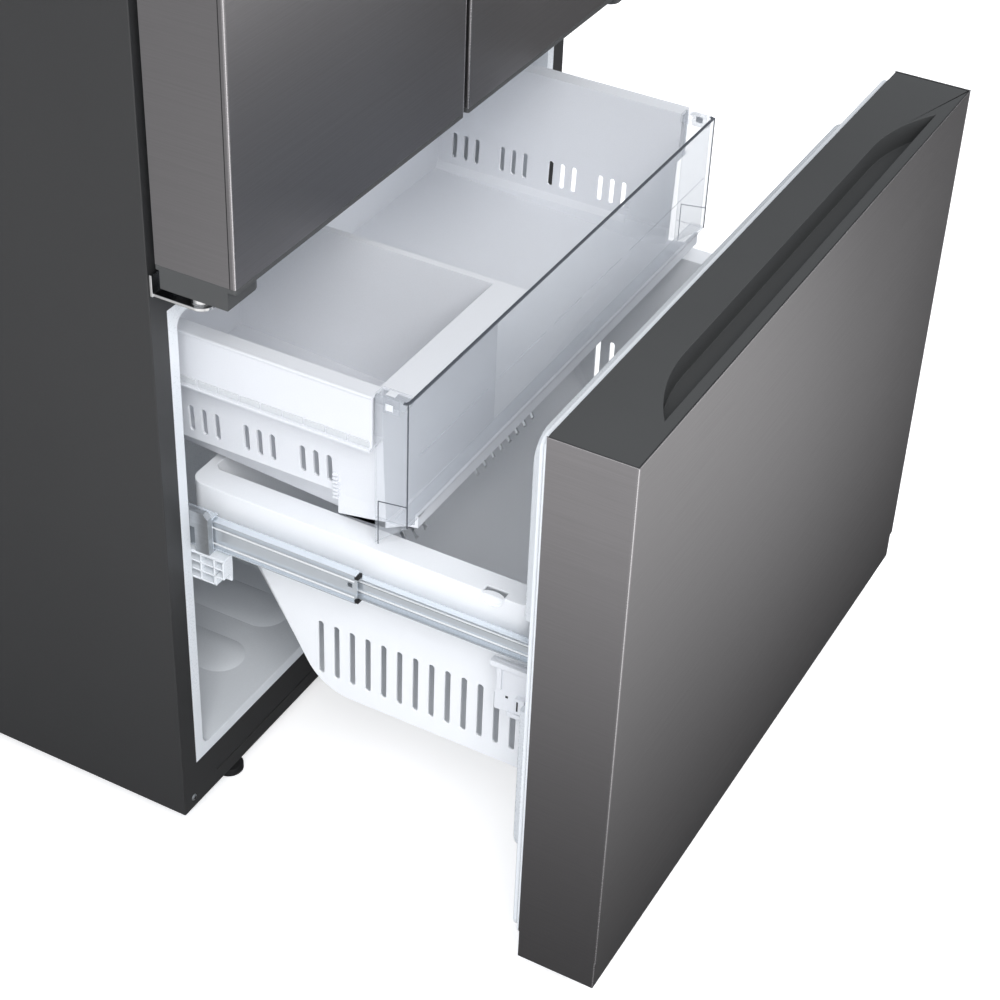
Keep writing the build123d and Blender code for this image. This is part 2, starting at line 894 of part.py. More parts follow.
def gasket(x0, x1, z0, z1, out):
    """Magnetic seal: a base, a narrow neck and a head, drawn round a frame."""
    with BuildPart() as seal:
        for start, depth, inset in ((0, 5, 0), (5, 1.2, 4), (6.2, gasket_thickness - 6.2 - rest_gap, 0)):
            with BuildSketch(upright(panel_back + start - out)):
                rectangle(x0 + inset, x1 - inset, z0 + inset, z1 - inset)
                rectangle(
                    x0 + gasket_width - inset,
                    x1 - gasket_width + inset,
                    z0 + gasket_width - inset,
                    z1 - gasket_width + inset,
                    mode=Mode.SUBTRACT,
                )
            extrude(amount=-depth)
    return seal.part


def door_bins():
    """Tubs with cut corners that rest on the lugs inside the ring."""
    back = panel_back - pan_recess + rest_gap
    with BuildPart() as bins:
        for shelf in bin_levels:
            for inset, mode in ((0, Mode.ADD), (bin_wall, Mode.SUBTRACT)):
                left = ring_left + rest_gap + inset
                right = ring_right - rest_gap - inset
                with BuildSketch(section(left)) as side_view:
                    with BuildLine():
                        Polyline(
                            (back + inset, shelf + inset),
                            (back + bin_depth - bin_draft - inset, shelf + inset),
                            (back + bin_depth - inset, shelf + bin_height),
                            (back + inset, shelf + bin_height),
                            close=True,
                        )
                    make_face()
                extrude(amount=right - left, mode=mode)
                if mode == Mode.ADD:
                    outer_edges = bins.edges().filter_by(
                        lambda edge: abs(edge.length - (bin_height**2 + bin_draft**2) ** 0.5) < 0.01
                    )
                    newest = outer_edges.group_by(Axis.Z)[-1]
                    chamfer(newest, length=bin_corner)
    return bins.part


door_parts = {
    "skin": door_skin.part,
    "cap_top": door_cap_top.part,
    "cap_bottom": door_cap_bottom.part,
    "gasket": gasket(-gasket_outer, -door_edge - 5, door_bottom + 3, door_top - 8, 0),
    "bins": door_bins(),
}
for name, piece in door_parts.items():
    keep(piece, f"door_left_{name}")
    keep(mirrored(piece), f"door_right_{name}")
keep(door_liner(True), "door_left_liner")
keep(mirrored(door_liner(False)), "door_right_liner")

# Flap on the left door, folded back beside the ring; its pins turn in the liner's knuckles
flap_x0 = flap_pivot_x - flap_thickness / 2
flap_y0 = flap_pivot_y - flap_thickness / 2
flap_low = dike_low + flap_margin
flap_high = dike_high - flap_margin
notch_reach = knuckle_half * 1.42 + 1
with BuildPart() as mullion_flap:
    with BuildSketch(level(flap_low)) as flap_plan:
        rectangle(flap_x0, flap_x0 + flap_thickness, flap_y0, flap_y0 + flap_width)
        chamfer(flap_plan.vertices(), length=3)
    extrude(amount=flap_high - flap_low)
    for knuckle in knuckle_levels:
        with BuildSketch(level(knuckle - rest_gap)):
            rectangle(flap_x0 - 1, flap_x0 + flap_thickness + 1, flap_y0 - 1, flap_pivot_y + notch_reach)
        extrude(amount=knuckle_height + 2 * rest_gap, mode=Mode.SUBTRACT)
        with BuildSketch(level(knuckle - rest_gap)):
            with Locations((flap_pivot_x, flap_pivot_y)):
                Circle(flap_pin_radius)
        extrude(amount=knuckle_height + 2 * rest_gap)
keep(mullion_flap.part, "mullion_flap")

# Hinges
pin_top = door_bottom - 4
with BuildPart() as mid_hinges:
    with BuildSketch(level(arm_level)):
        rectangle(-half + 4, -half + 4 + arm_width, hinge_y, 0)
        with Locations((-hinge_x, hinge_y)):
            Circle(half - 4 - hinge_x)
    extrude(amount=arm_thickness)
    with BuildSketch(upright(0)):
        rectangle(-half + 2, -half + 62, arm_level, arm_level + hinge_plate_height)
    extrude(amount=arm_thickness)
    with BuildSketch(level(arm_level + arm_thickness)):
        with Locations((-hinge_x, hinge_y)):
            Circle(washer_radius)
    extrude(amount=washer_height)
    with BuildSketch(level(arm_level + arm_thickness + washer_height)):
        with Locations((-hinge_x, hinge_y)):
            Circle(pin_radius)
    extrude(amount=pin_top - arm_level - arm_thickness - washer_height)
    mirror(about=Plane.YZ)
keep(mid_hinges.part, "mid_hinges")

plate_level = cabinet_height + sheet
with BuildPart() as top_hinges:
    with BuildSketch(level(plate_level)):
        rectangle(-half + 4, -half + 4 + arm_width, hinge_y, top_plate_length)
        with Locations((-hinge_x, hinge_y)):
            Circle(half - 4 - hinge_x)
    extrude(amount=arm_thickness)
    with BuildSketch(level(door_top - pin_radius)):
        with Locations((-hinge_x, hinge_y)):
            Circle(pin_radius)
    extrude(amount=plate_level - door_top + pin_radius)
    mirror(about=Plane.YZ)
keep(top_hinges.part, "top_hinges")

with BuildPart() as hinge_covers:
    with BuildSketch(level(plate_level + arm_thickness)) as cover_plan:
        rectangle(-half + 2, -half + 8 + arm_width, hinge_y - 20, top_plate_length + 4)
        chamfer(cover_plan.vertices(), length=8)
    extrude(amount=cover_height, taper=6)
    mirror(about=Plane.YZ)
keep(hinge_covers.part, "hinge_covers")


# Freezer drawer front, drawn shut and set forward by its travel
out = drawer_travel
handle_cap_level = drawer_top - handle_cap_height
recess_front_y = panel_front + recess_front_inset
recess_rear_y = recess_front_y + recess_width


def drawer_outline(inset, back=panel_back):
    """Plan of the drawer front, inside its skin by an inset."""
    with BuildSketch(Plane.XY, mode=Mode.PRIVATE) as plan:
        rectangle(-half + inset, half - inset, panel_front + inset - out, back - out)
        fillet(plan.vertices().group_by(Axis.Y)[0], radius=skin_bend - inset)
    return plan.sketch


def recess_outline(grow):
    """Plan of the grip: straight at the front, its rear curving in at both ends."""
    with BuildSketch(Plane.XY, mode=Mode.PRIVATE) as plan:
        with BuildLine():
            front = recess_front_y - grow - out
            rear = recess_rear_y + grow - out
            end = recess_half + 2 * grow
            Line((-end, front), (end, front))
            TangentArc((recess_straight, rear), (end, front), tangent=(1, 0))
            Line((recess_straight, rear), (-recess_straight, rear))
            TangentArc((-recess_straight, rear), (-end, front), tangent=(-1, 0))
        make_face()
    return plan.sketch


with BuildPart() as drawer_skin:
    with BuildSketch(level(drawer_bottom + bottom_cap_height)):
        add(drawer_outline(0))
        add(drawer_outline(skin_sheet, 0), mode=Mode.SUBTRACT)
    extrude(amount=drawer_top - drawer_bottom - bottom_cap_height)
keep(drawer_skin.part, "drawer_skin")

with BuildPart() as drawer_handle_cap:
    with BuildSketch(level(handle_cap_level)):
        add(drawer_outline(skin_sheet))
    extrude(amount=handle_cap_height - 0.5)
    with BuildSketch(level(drawer_top - recess_depth)):
        add(recess_outline(recess_wall))
    extrude(amount=recess_depth - handle_cap_height)
    with BuildSketch(level(drawer_top - recess_depth + recess_wall)):
        add(recess_outline(0))
    extrude(amount=recess_depth, mode=Mode.SUBTRACT)
keep(drawer_handle_cap.part, "drawer_handle_cap")

with BuildPart() as drawer_bottom_cap:
    with BuildSketch(level(drawer_bottom)):
        add(drawer_outline(bottom_cap_inset))
    extrude(amount=bottom_cap_height)
keep(drawer_bottom_cap.part, "drawer_bottom_cap")

pocket_inner = slide_back_x - slide_width - pocket_clearance
pocket_top = slide_level + bracket_half_height + pocket_clearance
pocket_bottom = slide_level - outer_height / 2 - support_height - pocket_clearance
pocket_depth = panel_back - support_start + pocket_clearance
with BuildPart() as drawer_liner:
    with BuildSketch(level(drawer_bottom + bottom_cap_height)):
        add(drawer_outline(skin_sheet))
    extrude(amount=handle_cap_level - drawer_bottom - bottom_cap_height)
    with BuildSketch(level(drawer_top - recess_depth)):
        add(recess_outline(recess_wall))
    extrude(amount=recess_depth, mode=Mode.SUBTRACT)
    with BuildSketch(upright(panel_back - out)):
        rectangle(
            -drawer_dike_half, drawer_dike_half, drawer_dike_bottom, drawer_dike_top, drawer_dike_corner
        )
    extrude(amount=-drawer_dike_depth, taper=6)
    # Pockets that take the slides' front ends and their supports when the drawer is shut
    for side in (-1, 1):
        with BuildSketch(upright(panel_back - pocket_depth - out)):
            rectangle(*span(side, pocket_inner, opening_half + 2), pocket_bottom, pocket_top)
        extrude(amount=-pocket_depth - 2 * drawer_dike_depth, mode=Mode.SUBTRACT)
    pad = dike_width + 12
    with BuildSketch(upright(panel_back + drawer_dike_depth - drawer_pad_recess - out)):
        rectangle(
            -drawer_dike_half + pad,
            drawer_dike_half - pad,
            drawer_dike_bottom + pad,
            drawer_dike_top - pad,
            drawer_dike_corner,
        )
    extrude(amount=-drawer_dike_depth, mode=Mode.SUBTRACT)
keep(drawer_liner.part, "drawer_liner")
keep(
    gasket(-drawer_gasket_half, drawer_gasket_half, drawer_gasket_bottom, drawer_gasket_top, out),
    "drawer_gasket",
)

# Telescopic slides, left side: three nested channels
slide_front_x = slide_back_x - slide_width


def channel(y, length, height, back_x, web_x, lip_x):
    """Rolled channel on its side: two flanges from back_x to lip_x, and the web between them."""
    top, bottom = slide_level + height / 2, slide_level - height / 2
    web = span(-1, web_x, web_x - slide_sheet if lip_x < web_x else web_x + slide_sheet)
    with BuildSketch(upright(y)) as member:
        rectangle(*span(-1, back_x, lip_x), bottom, bottom + slide_sheet)
        rectangle(*span(-1, back_x, lip_x), top - slide_sheet, top)
        rectangle(*web, bottom, top)
    extrude(member.sketch, amount=-length)


with BuildPart() as slide_outer:
    channel(outer_start, outer_length, outer_height, slide_back_x, slide_back_x, slide_front_x)
    mirror(about=Plane.YZ)
keep(slide_outer.part, "slide_outers")

middle_back_x = slide_back_x - slide_sheet - rest_gap
middle_web_x = middle_back_x - raceway_depth
middle_lip_x = slide_front_x + 0.8
inner_web_x = slide_front_x
inner_lip_x = middle_web_x - slide_sheet - rest_gap
middle_out = middle_start - out / 2
outer_ball_gap = (outer_height - middle_height) / 2 - slide_sheet - rest_gap
inner_ball_gap = (middle_height - inner_height) / 2 - slide_sheet - rest_gap
with BuildPart() as slide_middle:
    channel(middle_out, middle_length, middle_height, middle_back_x, middle_web_x, middle_lip_x)
    # Ball cages: strips between the flanges, in the overlap of the members
    for up in (-1, 1):
        edge = slide_level + up * middle_height / 2
        with BuildSketch(upright(middle_out + middle_length - cage_length - cage_rear)):
            cage = span(-1, middle_lip_x + 2, middle_back_x - 2)
            rectangle(*cage, *sorted((edge, edge + up * outer_ball_gap)))
        extrude(amount=-cage_length)
        edge = slide_level + up * (middle_height / 2 - slide_sheet)
        with BuildSketch(upright(middle_out + cage_start)):
            cage = span(-1, inner_web_x + 2, inner_lip_x - 1)
            rectangle(*cage, *sorted((edge, edge - up * inner_ball_gap)))
        extrude(amount=-cage_length)
    # Square latch hole near the front end
    with BuildSketch(section(-slide_back_x)):
        with Locations((middle_out + 9, slide_level + 2)):
            Rectangle(6, 6)
    extrude(amount=slide_width, mode=Mode.SUBTRACT)
keep(slide_middle.part, "slide_middle_left")
keep(mirrored(slide_middle.part), "slide_middle_right")

inner_out = inner_start - out
with BuildPart() as slide_inners:
    channel(inner_out, inner_length, inner_height, inner_web_x, inner_web_x, inner_lip_x)
    with BuildSketch(section(-slide_back_x)):
        for place in inner_holes:
            with Locations((inner_out + place, slide_level + 6)):
                RegularPolygon(inner_hole_radius, 6)
    extrude(amount=slide_width, mode=Mode.SUBTRACT)
    mirror(about=Plane.YZ)
keep(slide_inners.part, "slide_inners")

with BuildPart() as slide_brackets:
    # Front end plate, stepped where it passes the liner's edge
    with BuildSketch(section(-opening_half)) as plate:
        low, high = slide_level - outer_height / 2, slide_level + bracket_half_height
        rectangle(outer_start, outer_start + bracket_length - 10, low, high)
        rectangle(outer_start, outer_start + bracket_length + 8, high - 22, high)
        chamfer(plate.vertices().group_by(Axis.Y)[-1], length=6)
    extrude(amount=opening_half - slide_back_x)
    # Rear plate
    with BuildSketch(section(-opening_half)):
        rectangle(outer_start + outer_length - 40, outer_start + outer_length - 12, low, high)
    extrude(amount=opening_half - slide_back_x)
    mirror(about=Plane.YZ)
keep(slide_brackets.part, "slide_brackets")

support_top = slide_level - outer_height / 2
support_rear = support_start + support_length
with BuildPart() as slide_supports:
    with BuildSketch(section(-opening_half)):
        with BuildLine():
            Polyline(
                (support_start, support_top),
                (support_rear, support_top),
                (support_rear, support_top - support_height),
                (support_start + support_slope, support_top - support_height),
                (support_start, support_top - support_height + support_slope),
                close=True,
            )
        make_face()
    extrude(amount=opening_half - slide_front_x)
    # Open cells between its ribs
    cell_y = (support_length - support_slope) / 3
    cell_z = support_height / 3
    with BuildSketch(section(-slide_front_x)):
        with Locations((support_rear - 1.5 * cell_y, support_top - support_height / 2)):
            with GridLocations(cell_y - 0.4, cell_z - 0.4, 3, 3):
                Rectangle(cell_y - support_rib, cell_z - support_rib)
    extrude(amount=-(opening_half - slide_front_x - support_rib), mode=Mode.SUBTRACT)
    mirror(about=Plane.YZ)
keep(slide_supports.part, "slide_supports")

# Angles that carry the basket, from the drawer front along the inner slide members
rail_back = inner_start + inner_length - cage_rear
rail_front = panel_back + drawer_dike_depth
rail_top = skirt_level - rest_gap
rail_outer_x = slide_front_x
rail_bottom = rail_top - rail_thickness
with BuildPart() as basket_rails:
    with BuildSketch(upright(rail_front - out)):
        rectangle(*span(-1, rail_outer_x - rail_thickness, rail_outer_x), rail_bottom, rail_top + rail_lip)
        rectangle(*span(-1, rail_outer_x - rail_ledge, rail_outer_x), rail_bottom, rail_top)
    extrude(amount=-(rail_back - rail_front))
    with BuildSketch(upright(rail_front - out)):
        rectangle(*span(-1, rail_outer_x - rail_ledge, rail_outer_x), rail_top - rail_drop, rail_top + 12)
    extrude(amount=-rail_thickness)
    mirror(about=Plane.YZ)
keep(basket_rails.part, "basket_rails")


# Basket
def basket_body(inset):
    """Basket's block, shrunk by an inset: round heel, leaning rear wall and chamfered edges."""
    floor = basket_bottom + inset
    slant = inset * (1 + basket_lean**2) ** 0.5
    heel_y = basket_foot - slant + basket_lean * inset
    top = basket_top + inset
    with BuildPart() as body:
        with BuildSketch(section(-basket_half + inset)) as side_view:
            with BuildLine():
                Polyline(
                    (basket_front + inset - out, floor),
                    (heel_y - out, floor),
                    (heel_y + basket_lean * (skirt_level - floor) - out, skirt_level),
                    (basket_shoulder - inset - out, top),
                    (basket_front + inset - out, top),
                    close=True,
                )
            make_face()
            lowest = side_view.vertices().group_by(Axis.Y)[0]
            fillet(lowest.sort_by(Axis.X)[-1], radius=basket_heel - inset)
        extrude(amount=2 * (basket_half - inset))
        for end in (0, -1):
            rim_edges = body.faces().sort_by(Axis.X)[end].edges().sort_by(Axis.Z)[:-1]
            chamfer(rim_edges, length=basket_edge - inset * 0.6)
    return body.part


slot_middle = (basket_slot_low + basket_slot_high) / 2
slot_span = (basket_slots - 1) * basket_slot_pitch
rear_slot_middle = rear_slot_start + (rear_slots - 1) * rear_slot_pitch / 2
with BuildPart() as basket:
    add(basket_body(0))
    # Rim: a flat band with a skirt
    with BuildSketch(level(basket_top - basket_wall)):
        rectangle(-tray_rim_half, tray_rim_half, basket_front - 6 - out, basket_rear - out, basket_corner)
    extrude(amount=basket_wall)
    with BuildSketch(level(skirt_level)):
        rectangle(-tray_rim_half, tray_rim_half, basket_front - 6 - out, basket_rear - out, basket_corner)
        rectangle(
            -tray_rim_half + basket_wall,
            tray_rim_half - basket_wall,
            basket_front - 6 + basket_wall - out,
            basket_rear - basket_wall - out,
            basket_corner - basket_wall,
            mode=Mode.SUBTRACT,
        )
    extrude(amount=basket_top - skirt_level)
    add(basket_body(basket_wall), mode=Mode.SUBTRACT)
    # Long slots through both side walls, and short ones through the rear wall
    with BuildSketch(section(-basket_half - 1)) as slots:
        with Locations((basket_slot_start + slot_span / 2 - out, slot_middle)):
            with GridLocations(basket_slot_pitch, 0, basket_slots, 1):
                Rectangle(slot_width, basket_slot_high - basket_slot_low)
        chamfer(slots.vertices(), length=slot_chamfer)
    extrude(amount=2 * basket_half + 2, mode=Mode.SUBTRACT)
    with BuildSketch(upright(basket_foot - out)):
        for side in (-1, 1):
            with Locations((side * rear_slot_middle, (rear_slot_low + rear_slot_high) / 2)):
                with GridLocations(rear_slot_pitch, 0, rear_slots, 1):
                    Rectangle(slot_width, rear_slot_high - rear_slot_low)
    extrude(amount=-basket_heel, mode=Mode.SUBTRACT)
    # Finger scoops in the rim's skirt
    for side in (-1, 1):
        with BuildSketch(section(side * tray_rim_half)):
            with Locations((scoop_y - out, basket_top)):
                RegularPolygon(scoop_radius, 16)
        extrude(amount=-side * (basket_wall + 8), mode=Mode.SUBTRACT)
keep(basket.part, "basket")


# Upper tray, drawn pushed in and set forward by its travel
tray_out = tray_travel
tray_face = tray_front_edge - tray_out
tray_back = tray_rear - tray_out
divider_x = -tray_top_half + 2 * tray_top_half * divider_part


def tray_section(inset, edge):
    """Front view of the tray's tub: leaning sides and chamfered lower edges."""
    low, high = tray_bottom + inset, tray_top
    lean = (tray_top_half - tray_floor_half) / (tray_top - tray_bottom)
    near, far = tray_floor_half - inset, tray_top_half - inset
    right = [(near - edge, low), (near + lean * edge, low + edge), (far, high)]
    left = [(-x, z) for x, z in reversed(right)]
    return [*right, *left]


inner_edge = tray_edge - tray_wall * 0.6
with BuildPart() as tray:
    for inset, edge, mode in ((0, tray_edge, Mode.ADD), (tray_wall, inner_edge, Mode.SUBTRACT)):
        face = tray_face - (1 if inset else 0)
        with BuildSketch(upright(face)):
            with BuildLine():
                Polyline(*tray_section(inset, edge), close=True)
            make_face()
        extrude(amount=face - tray_back + inset, mode=mode)
    # Rim band with its skirt, and the runners under it
    with BuildSketch(level(tray_top - tray_wall)):
        rectangle(-tray_rim_half, tray_rim_half, tray_face, tray_back + 6)
        rectangle(
            -tray_top_half + tray_wall,
            tray_top_half - tray_wall,
            tray_face - 1,
            tray_back - tray_wall,
            mode=Mode.SUBTRACT,
        )
    extrude(amount=tray_wall)
    runner_bottom = runner_level + rest_gap
    runner_top = runner_bottom + runner_thickness
    for side in (-1, 1):
        with BuildSketch(upright(tray_face)):
            rectangle(*span(side, tray_floor_half + 5, runner_edge), runner_bottom, runner_top)
            rectangle(*span(side, tray_rim_half - tray_wall, tray_rim_half), runner_bottom, tray_top)
        extrude(amount=-(tray_rear - tray_front_edge))
        # Square foot under the front end of each side wall
        foot_top = tray_bottom + tray_edge + 2
        with BuildSketch(upright(tray_face)):
            rectangle(*span(side, tray_floor_half - tray_edge, tray_floor_half), tray_bottom, foot_top)
        extrude(amount=-foot_block)
    # Left tub: a hollow divider, a front wall and a ledge up to the clear front
    with BuildSketch(upright(tray_face)):
        rectangle(divider_x - divider_width, divider_x, tray_bottom, tray_top)
    extrude(amount=-(tray_rear - tray_front_edge))
    with BuildSketch(upright(tray_face)):
        with BuildLine():
            Polyline(
                (-tray_floor_half + tray_wall, tray_bottom),
                (divider_x, tray_bottom),
                (divider_x, tray_top),
                (-tray_top_half + tray_wall, tray_top),
                close=True,
            )
        make_face()
    extrude(amount=-tray_wall)
    with BuildSketch(level(tray_top - tray_wall)):
        rectangle(
            -tray_top_half + clear_wall + rest_gap,
            divider_x,
            clear_front + clear_wall + rest_gap - tray_out,
            tray_face + tray_wall,
        )
    extrude(amount=tray_wall)
    hollow = (divider_x - divider_width + divider_wall, divider_x - divider_wall)
    with BuildSketch(upright(tray_face + tray_wall)):
        rectangle(*hollow, tray_bottom, tray_top - tray_wall)
    extrude(amount=-(tray_rear - tray_front_edge - 2 * tray_wall), mode=Mode.SUBTRACT)
    # Slots in groups through both side walls
    group_length = (tray_slots_in_group - 1) * tray_slot_pitch
    for side in (-1, 1):
        with BuildSketch(section(side * (tray_top_half + 1))) as slots:
            for group in range(tray_groups):
                start = tray_slot_start + group * tray_group_pitch + group_length / 2
                with Locations((start - tray_out, (tray_slot_low + tray_slot_high) / 2)):
                    with GridLocations(tray_slot_pitch, 0, tray_slots_in_group, 1):
                        Rectangle(slot_width, tray_slot_high - tray_slot_low)
            chamfer(slots.vertices(), length=slot_chamfer)
        extrude(amount=-side * 20, mode=Mode.SUBTRACT)
    # Floor runs on to the clear front and turns up under it
    with BuildSketch(section(-tray_floor_half)):
        front = clear_front - tray_out
        with BuildLine():
            Polyline(
                (tray_face, tray_bottom),
                (front, tray_bottom),
                (front, clear_bottom),
                (front + clear_wall, clear_bottom),
                (front + clear_wall, tray_bottom + tray_wall),
                (tray_face, tray_bottom + tray_wall),
                close=True,
            )
        make_face()
    extrude(amount=2 * tray_floor_half)
keep(tray.part, "tray")

with BuildPart() as tray_front:
    with BuildSketch(level(clear_bottom)):
        rectangle(-tray_top_half, tray_top_half, clear_front - tray_out, tray_face)
        rectangle(
            -tray_top_half + clear_wall,
            tray_top_half - clear_wall,
            clear_front + clear_wall - tray_out,
            tray_face + 1,
            mode=Mode.SUBTRACT,
        )
    extrude(amount=tray_top - clear_bottom)
keep(tray_front.part, "tray_front")

# Crisper drawers on the fridge floor
crisper = tub(
    -opening_half + crisper_side_gap,
    -crisper_middle_gap,
    crisper_front,
    crisper_rear,
    fridge_floor + rest_gap,
    crisper_height,
    crisper_wall,
    crisper_draft,
)
keep(crisper, "crisper_left")
keep(mirrored(crisper), "crisper_right")

with BuildPart() as crisper_cover:
    with BuildSketch(level(cover_level)):
        rectangle(-opening_half + rest_gap, opening_half - rest_gap, crisper_front - 8, shelf_rear)
    extrude(amount=12)
    with BuildSketch(level(cover_level + 8)):
        rectangle(-opening_half + 16, opening_half - 16, crisper_front + 20, shelf_rear - 12)
    extrude(amount=glass_thickness, mode=Mode.SUBTRACT)
keep(crisper_cover.part, "crisper_cover")

# Glass shelves on cantilever arms that hook into upright tracks
shelf_outer = opening_half - shelf_margin
with BuildPart() as shelf_glass:
    for shelf in shelf_levels:
        with BuildSketch(level(shelf)):
            rectangle(-shelf_outer, -shelf_half_gap, shelf_front, shelf_rear)
        extrude(amount=glass_thickness)
    mirror(about=Plane.YZ)
keep(shelf_glass.part, "shelf_glass")

track_face = fridge_rear - duct_depth
with BuildPart() as shelf_tracks:
    for place in track_places:
        with BuildSketch(level(cover_level + track_margin)):
            rectangle(-place - track_width / 2, -place + track_width / 2, track_face, fridge_rear)
        extrude(amount=shelf_room - 2 * track_margin)
    mirror(about=Plane.YZ)
keep(shelf_tracks.part, "shelf_tracks")

with BuildPart() as shelf_frames:
    for shelf in shelf_levels:
        for place in track_places:
            with BuildSketch(section(-place - 1)):
                with BuildLine():
                    Polyline(
                        (track_face, shelf + 6),
                        (track_face, shelf - arm_drop),
                        (shelf_front + 20, shelf - 8),
                        (shelf_front + 6, shelf),
                        (shelf_rear + 1, shelf),
                        (shelf_rear + 1, shelf + 6),
                        close=True,
                    )
                make_face()
            extrude(amount=2)
        # Front trim that grips the glass
        with BuildSketch(upright(shelf_front + 12)):
            rectangle(-shelf_outer, -shelf_half_gap, shelf - 6, shelf + glass_thickness + 3)
            glass = (-shelf_outer - 1, -shelf_half_gap + 1, shelf, shelf + glass_thickness)
            rectangle(*glass, mode=Mode.SUBTRACT)
        extrude(amount=14)
        with BuildSketch(upright(shelf_front)):
            rectangle(-shelf_outer, -shelf_half_gap, shelf - 6, shelf + glass_thickness + 3)
        extrude(amount=4)
    mirror(about=Plane.YZ)
keep(shelf_frames.part, "shelf_frames")

duct_edge = track_places[0] + track_width / 2
duct_front = fridge_rear - duct_depth + 3
with BuildPart() as air_duct:
    with BuildSketch(level(cover_level + 20)):
        rectangle(-duct_half, -duct_edge - 2, duct_front, fridge_rear)
    extrude(amount=shelf_room - track_margin)
    with BuildSketch(upright(duct_front)):
        with Locations((-(duct_half + duct_edge) / 2, (cover_level + fridge_ceiling) / 2)):
            with GridLocations(0, 90, 1, 6):
                Rectangle(60, 8)
    extrude(amount=-6, mode=Mode.SUBTRACT)
    mirror(about=Plane.YZ)
keep(air_duct.part, "air_duct")
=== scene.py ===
import bpy
import bmesh
import math
import numpy as np
from mathutils import Matrix, Vector


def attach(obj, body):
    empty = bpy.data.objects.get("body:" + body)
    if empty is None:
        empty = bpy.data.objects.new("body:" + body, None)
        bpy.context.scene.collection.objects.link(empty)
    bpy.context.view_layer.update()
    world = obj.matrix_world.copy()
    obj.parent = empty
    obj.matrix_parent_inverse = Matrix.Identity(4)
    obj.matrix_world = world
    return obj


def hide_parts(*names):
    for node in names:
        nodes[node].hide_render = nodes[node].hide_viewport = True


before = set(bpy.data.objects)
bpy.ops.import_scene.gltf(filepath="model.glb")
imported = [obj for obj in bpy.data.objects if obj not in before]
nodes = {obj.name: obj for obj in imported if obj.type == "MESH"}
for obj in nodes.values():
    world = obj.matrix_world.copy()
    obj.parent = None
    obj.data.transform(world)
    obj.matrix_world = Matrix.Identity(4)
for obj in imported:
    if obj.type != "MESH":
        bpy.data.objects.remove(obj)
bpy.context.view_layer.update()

print("frame loaded:", len(nodes), "CAD nodes")

viewSettings = {
    "azimuth": -62.527,      # degrees, 0 looks at the front
    "elevation": 36.909,     # degrees above level
    "roll": 2.483,           # degrees
    "place": (-1.95776, -1.23414, 1.93808),      # metres
    "lens": 79.476,          # mm, on a sensor 36 mm wide
    "sensor": 36.0,
    "farEnd": 60.0,          # metres
}


def aimCamera(settings):
    # back points from the object to the lens; right and up are turned by the roll
    a, e, r = (math.radians(settings[k]) for k in ("azimuth", "elevation", "roll"))
    back = Vector((math.sin(a) * math.cos(e), -math.cos(a) * math.cos(e), math.sin(e)))
    level = Vector((0, 0, 1)).cross(back).normalized()
    above = back.cross(level)
    right = level * math.cos(r) + above * math.sin(r)
    up = above * math.cos(r) - level * math.sin(r)
    data = bpy.data.cameras.new("photoCamera")
    data.lens = settings["lens"]
    data.sensor_width = settings["sensor"]
    data.clip_end = settings["farEnd"]
    camera = bpy.data.objects.new("photoCamera", data)
    camera.matrix_world = Matrix((
        (right.x, up.x, back.x, settings["place"][0]),
        (right.y, up.y, back.y, settings["place"][1]),
        (right.z, up.z, back.z, settings["place"][2]),
        (0, 0, 0, 1)))
    bpy.context.scene.collection.objects.link(camera)
    bpy.context.scene.camera = camera


aimCamera(viewSettings)


def newGroup(name, inputs):
    # a shader group that reads Object coordinates and puts out a Mask (0 to 1) and a Height
    group = bpy.data.node_groups.new(name, "ShaderNodeTree")
    for label, value in inputs.items():
        socket = group.interface.new_socket(label, in_out="INPUT", socket_type="NodeSocketFloat")
        socket.default_value = value
    for label in ("Mask", "Height"):
        group.interface.new_socket(label, in_out="OUTPUT", socket_type="NodeSocketFloat")
    start = group.nodes.new("NodeGroupInput")
    end = group.nodes.new("NodeGroupOutput")
    place = group.nodes.new("ShaderNodeTexCoord")
    return group, start.outputs, end.inputs, place.outputs["Object"]


def noiseNode(tree, vector, detail, rough, scale):
    noise = tree.nodes.new("ShaderNodeTexNoise")
    noise.inputs["Detail"].default_value = detail
    noise.inputs["Roughness"].default_value = rough
    tree.links.new(vector, noise.inputs["Vector"])
    tree.links.new(scale, noise.inputs["Scale"])
    return noise.outputs["Fac"]


def stretched(tree, vector, scale):
    mapping = tree.nodes.new("ShaderNodeMapping")
    mapping.inputs["Scale"].default_value = scale
    tree.links.new(vector, mapping.inputs["Vector"])
    return mapping.outputs["Vector"]


def mathNode(tree, operation, a, b):
    # a and b are each a number or a socket
    node = tree.nodes.new("ShaderNodeMath")
    node.operation = operation
    for socket, value in zip(node.inputs, (a, b)):
        if isinstance(value, (int, float)):
            socket.default_value = value
        else:
            tree.links.new(value, socket)
    return node.outputs[0]


def sharedSum(tree, a, b, shares):
    # a times its share, plus b times its share
    parts = [mathNode(tree, "MULTIPLY", socket, share) for socket, share in zip((a, b), shares)]
    return mathNode(tree, "ADD", *parts)


def rangeNode(tree, value, low, high, outLow, outHigh):
    # low becomes outLow and high becomes outHigh, smooth between them and level beyond
    node = tree.nodes.new("ShaderNodeMapRange")
    node.interpolation_type = "SMOOTHSTEP"
    tree.links.new(value, node.inputs["Value"])
    labels = ("From Min", "From Max", "To Min", "To Max")
    for label, number in zip(labels, (low, high, outLow, outHigh)):
        node.inputs[label].default_value = number
    return node.outputs["Result"]


